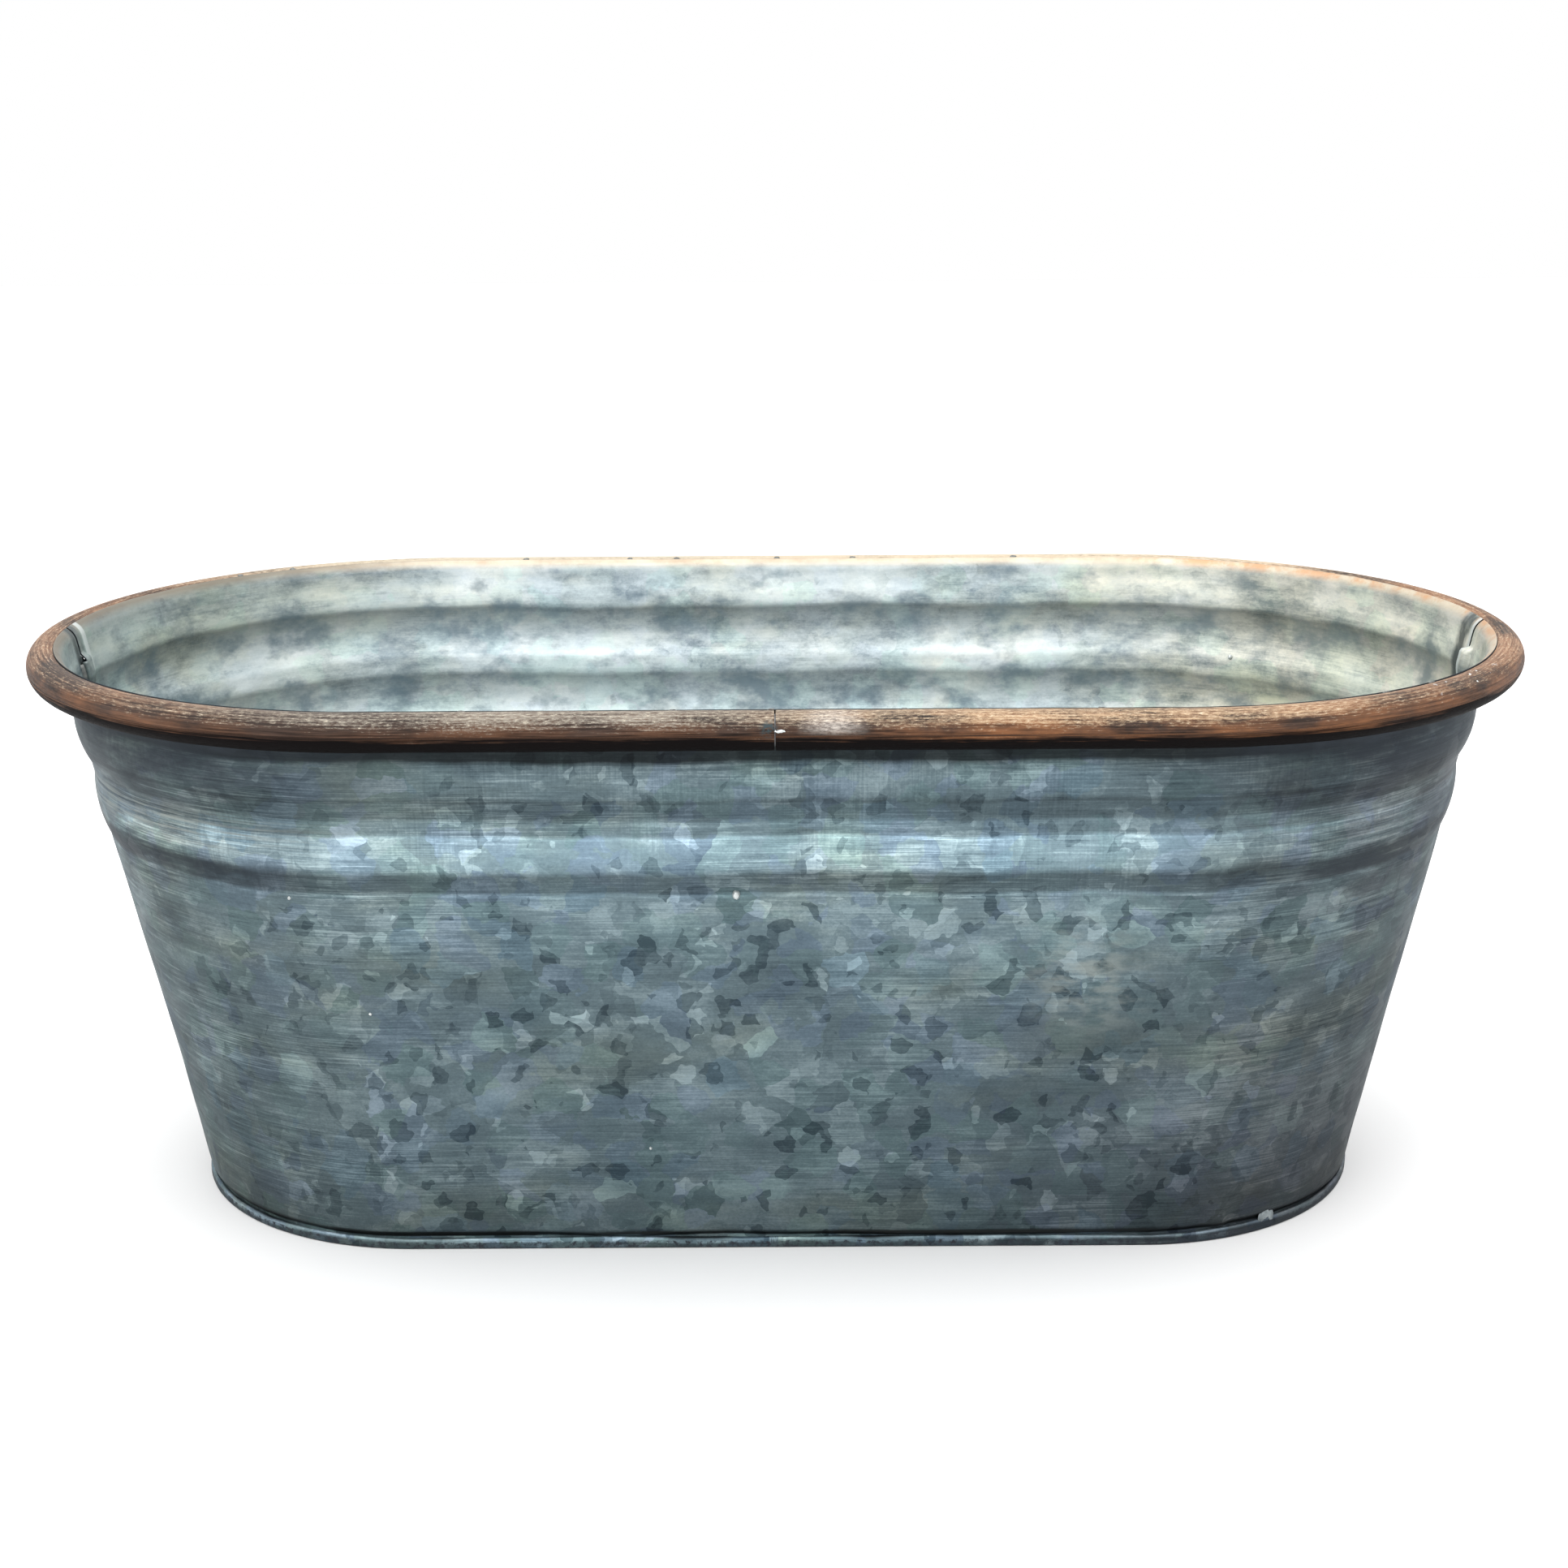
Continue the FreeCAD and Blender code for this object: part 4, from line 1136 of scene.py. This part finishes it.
def rust_brown_rim():
    """The rim's brown coat: speckled tan on top, partly wear and partly painted highlight, orange
    in places, and painted shade that makes it black beneath.
    """
    f = Finish("rim_brown")
    surface = f.surface()
    up = f.separate(f.facing(), 2)
    speckle = f.noise(surface, 1, detail=5, roughness=0.8, stretch=(480, 1500, 1))
    strokes = f.noise(surface, 1, detail=4, roughness=0.65, stretch=(38, 1300, 1))
    patches = f.noise(surface, 1, detail=5, roughness=0.65, stretch=(22, 60, 1))
    warm = f.math("MAXIMUM", f.spread(f.side, -0.03, 0.06), f.spread(f.side, -0.15, -0.2, 0, 0.7))
    f.colour = rim_coat(f, up, warm, speckle, strokes, patches)
    # painted shade: the tube's underside painted near black
    facing = f.total(up, f.sway(strokes, 0.22), f.sway(patches, 0.12))
    facing = f.math("SUBTRACT", facing, f.spread(warm, 0, 1, 0.08, 0.0))
    f.paint(f.spread(facing, 0.05, -0.35), (0.006, 0.005, 0.005))
    rim_marks(f, up, speckle)
    roughness = f.spread(speckle, 0.3, 0.7, 0.45, 0.68)
    relief = f.total(f.product(speckle, 0.7), f.product(strokes, 0.5))
    f.shader.inputs["Specular Tint"].default_value = (0.5, 0.5, 0.5, 1.0)
    f.put(f.spread(facing, -0.25, 0.3, 0.02, 0.32), f.shader.inputs["Specular IOR Level"])
    return f.finish(roughness, relief, 0.45, metallic=0.1)


def soft_metal(name, dark, light, scale, metallic, roughness=0.4):
    """Solder and bare metal: a mottled, faintly lumpy surface."""
    f = Finish(name)
    mottle = f.noise(f.body, scale, detail=5, roughness=0.6)
    f.colour = f.mix(f.spread(mottle, 0.32, 0.68), dark, light)
    rough = f.spread(mottle, 0.3, 0.7, roughness - 0.1, roughness + 0.12)
    return f.finish(rough, mottle, 0.35, metallic=metallic)


def grey_sealant():
    f = Finish("sealant_grey")
    smear = f.noise(f.body, 120, detail=4, stretch=(1, 1, 4))
    dirt = f.noise(f.body, 35, detail=4)
    f.colour = f.mix(f.spread(dirt, 0.35, 0.7), (0.14, 0.155, 0.16), (0.30, 0.32, 0.32))
    f.paint(f.spread(smear, 0.4, 0.6, 0, 0.35), (0.09, 0.10, 0.10))
    return f.finish(f.spread(smear, 0.3, 0.7, 0.5, 0.75), smear, 0.5, 0.4 * MM)


# ---- studio ---------------------------------------------------------------------------


def floor():
    size = 4.0
    corners = [(-size, -size, 0), (size, -size, 0), (size, size, 0), (-size, size, 0)]
    mesh = bpy.data.meshes.new("studio_floor")
    mesh.from_pydata(corners, [], [(0, 1, 2, 3)])
    made = placed("studio_floor", mesh)
    f = Finish("floor_white")
    mottle = f.noise(f.body, 3, detail=2)
    f.colour = f.mix(f.spread(mottle, 0.3, 0.7), (0.78, 0.78, 0.78), (0.80, 0.80, 0.80))
    mesh.materials.append(f.finish(0.9))


def area_light(name, place, aim, width, height, power, colour=(1, 1, 1)):
    data = bpy.data.lights.new(name, "AREA")
    data.shape = "RECTANGLE"
    data.size, data.size_y = width, height
    data.energy = power
    data.color = colour
    made = placed(name, data)
    made.location = place
    made.rotation_euler = (Vector(aim) - Vector(place)).to_track_quat("-Z", "Y").to_euler()


def sky():
    """A studio room: white at eye level and brighter overhead."""
    world = bpy.data.worlds.new("studio")
    world.use_nodes = True
    nodes, links = world.node_tree.nodes, world.node_tree.links
    kinds = ("TexCoord", "SeparateXYZ", "MapRange")
    place, parts, ramp = (nodes.new(f"ShaderNode{kind}") for kind in kinds)
    for name, number in {"From Min": 0.15, "From Max": 0.9, "To Min": 1.0, "To Max": 2.0}.items():
        ramp.inputs[name].default_value = number
    links.new(place.outputs["Generated"], parts.inputs[0])
    links.new(parts.outputs["Z"], ramp.inputs["Value"])
    background = nodes["Background"]
    background.inputs["Color"].default_value = (1, 1, 1, 1)
    links.new(ramp.outputs["Result"], background.inputs["Strength"])
    bpy.context.scene.world = world


def camera():
    """The view of the tub: a little above it, straight at its front."""
    data = bpy.data.cameras.new("view")
    data.sensor_width = 36
    data.lens = 56.24
    data.shift_x = 0.0048
    data.shift_y = 0.0745
    data.clip_start, data.clip_end = 0.05, 50
    middle = Vector((0, 0, 93.7 * MM))
    distance = 863.9 * MM
    down, yaw, roll = math.radians(18.53), math.radians(-0.06), math.radians(-0.35)
    level = math.cos(down)
    forward = Vector((math.sin(yaw) * level, math.cos(yaw) * level, -math.sin(down)))
    made = placed("view", data)
    made.rotation_mode = "QUATERNION"
    turned = forward.to_track_quat("-Z", "Y").to_matrix().to_4x4()
    made.rotation_quaternion = (turned @ Matrix.Rotation(roll, 4, "Z")).to_quaternion()
    made.location = middle - forward * distance
    bpy.context.scene.camera = made


# ---- the scene ------------------------------------------------------------------------

outside = zinc_outside()
inside = zinc_inside()
rim_brown = rust_brown_rim()
solder_bright = soft_metal("solder_bright", (0.30, 0.33, 0.33), (0.75, 0.78, 0.77), 260, 0.6)
solder_grey = soft_metal("solder_grey", (0.10, 0.12, 0.13), (0.34, 0.38, 0.39), 240, 0.5)
solder_dull = soft_metal("solder_dull", (0.05, 0.055, 0.055), (0.20, 0.21, 0.20), 300, 0.4, 0.5)
steel = soft_metal("dowel_steel", (0.10, 0.10, 0.10), (0.28, 0.28, 0.29), 200, 0.9)

wall_sheet("front_wall_sheet", "front_wall", False, outside, inside)
wall_sheet("rear_wall_sheet", "rear_wall", True, outside, inside)
pan(inside, outside)
tube(rim_brown)
seam_bead("right_seam_fillet", "right_seam_solder", False, solder_dull)
seam_bead("left_seam_fillet", "left_seam_solder", True, solder_dull)
sealant(grey_sealant())
lumps("rim_tack_blobs", tack_blobs(), solder_dull, "solder", "rim_tack_spots")
lumps("rim_joint_drop", joint_drop(), solder_bright, "solder", "rim_joint_bead")
lumps("zinc_drips", zinc_drips(), solder_bright, "galvanised_sheet")
foot_splash(solder_grey)

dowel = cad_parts["rim_joint_dowel"]
dowel.data.materials.clear()
dowel.data.materials.append(steel)

floor()
sky()
area_light("top_soft", (0, -0.2, 1.5), (0, 0, 0.1), 1.6, 1.2, 14)
area_light("front_left", (-1.2, -1.6, 0.9), (0, 0, 0.1), 0.8, 1.2, 6)
camera()
bpy.context.scene.view_settings.view_transform = "Standard"
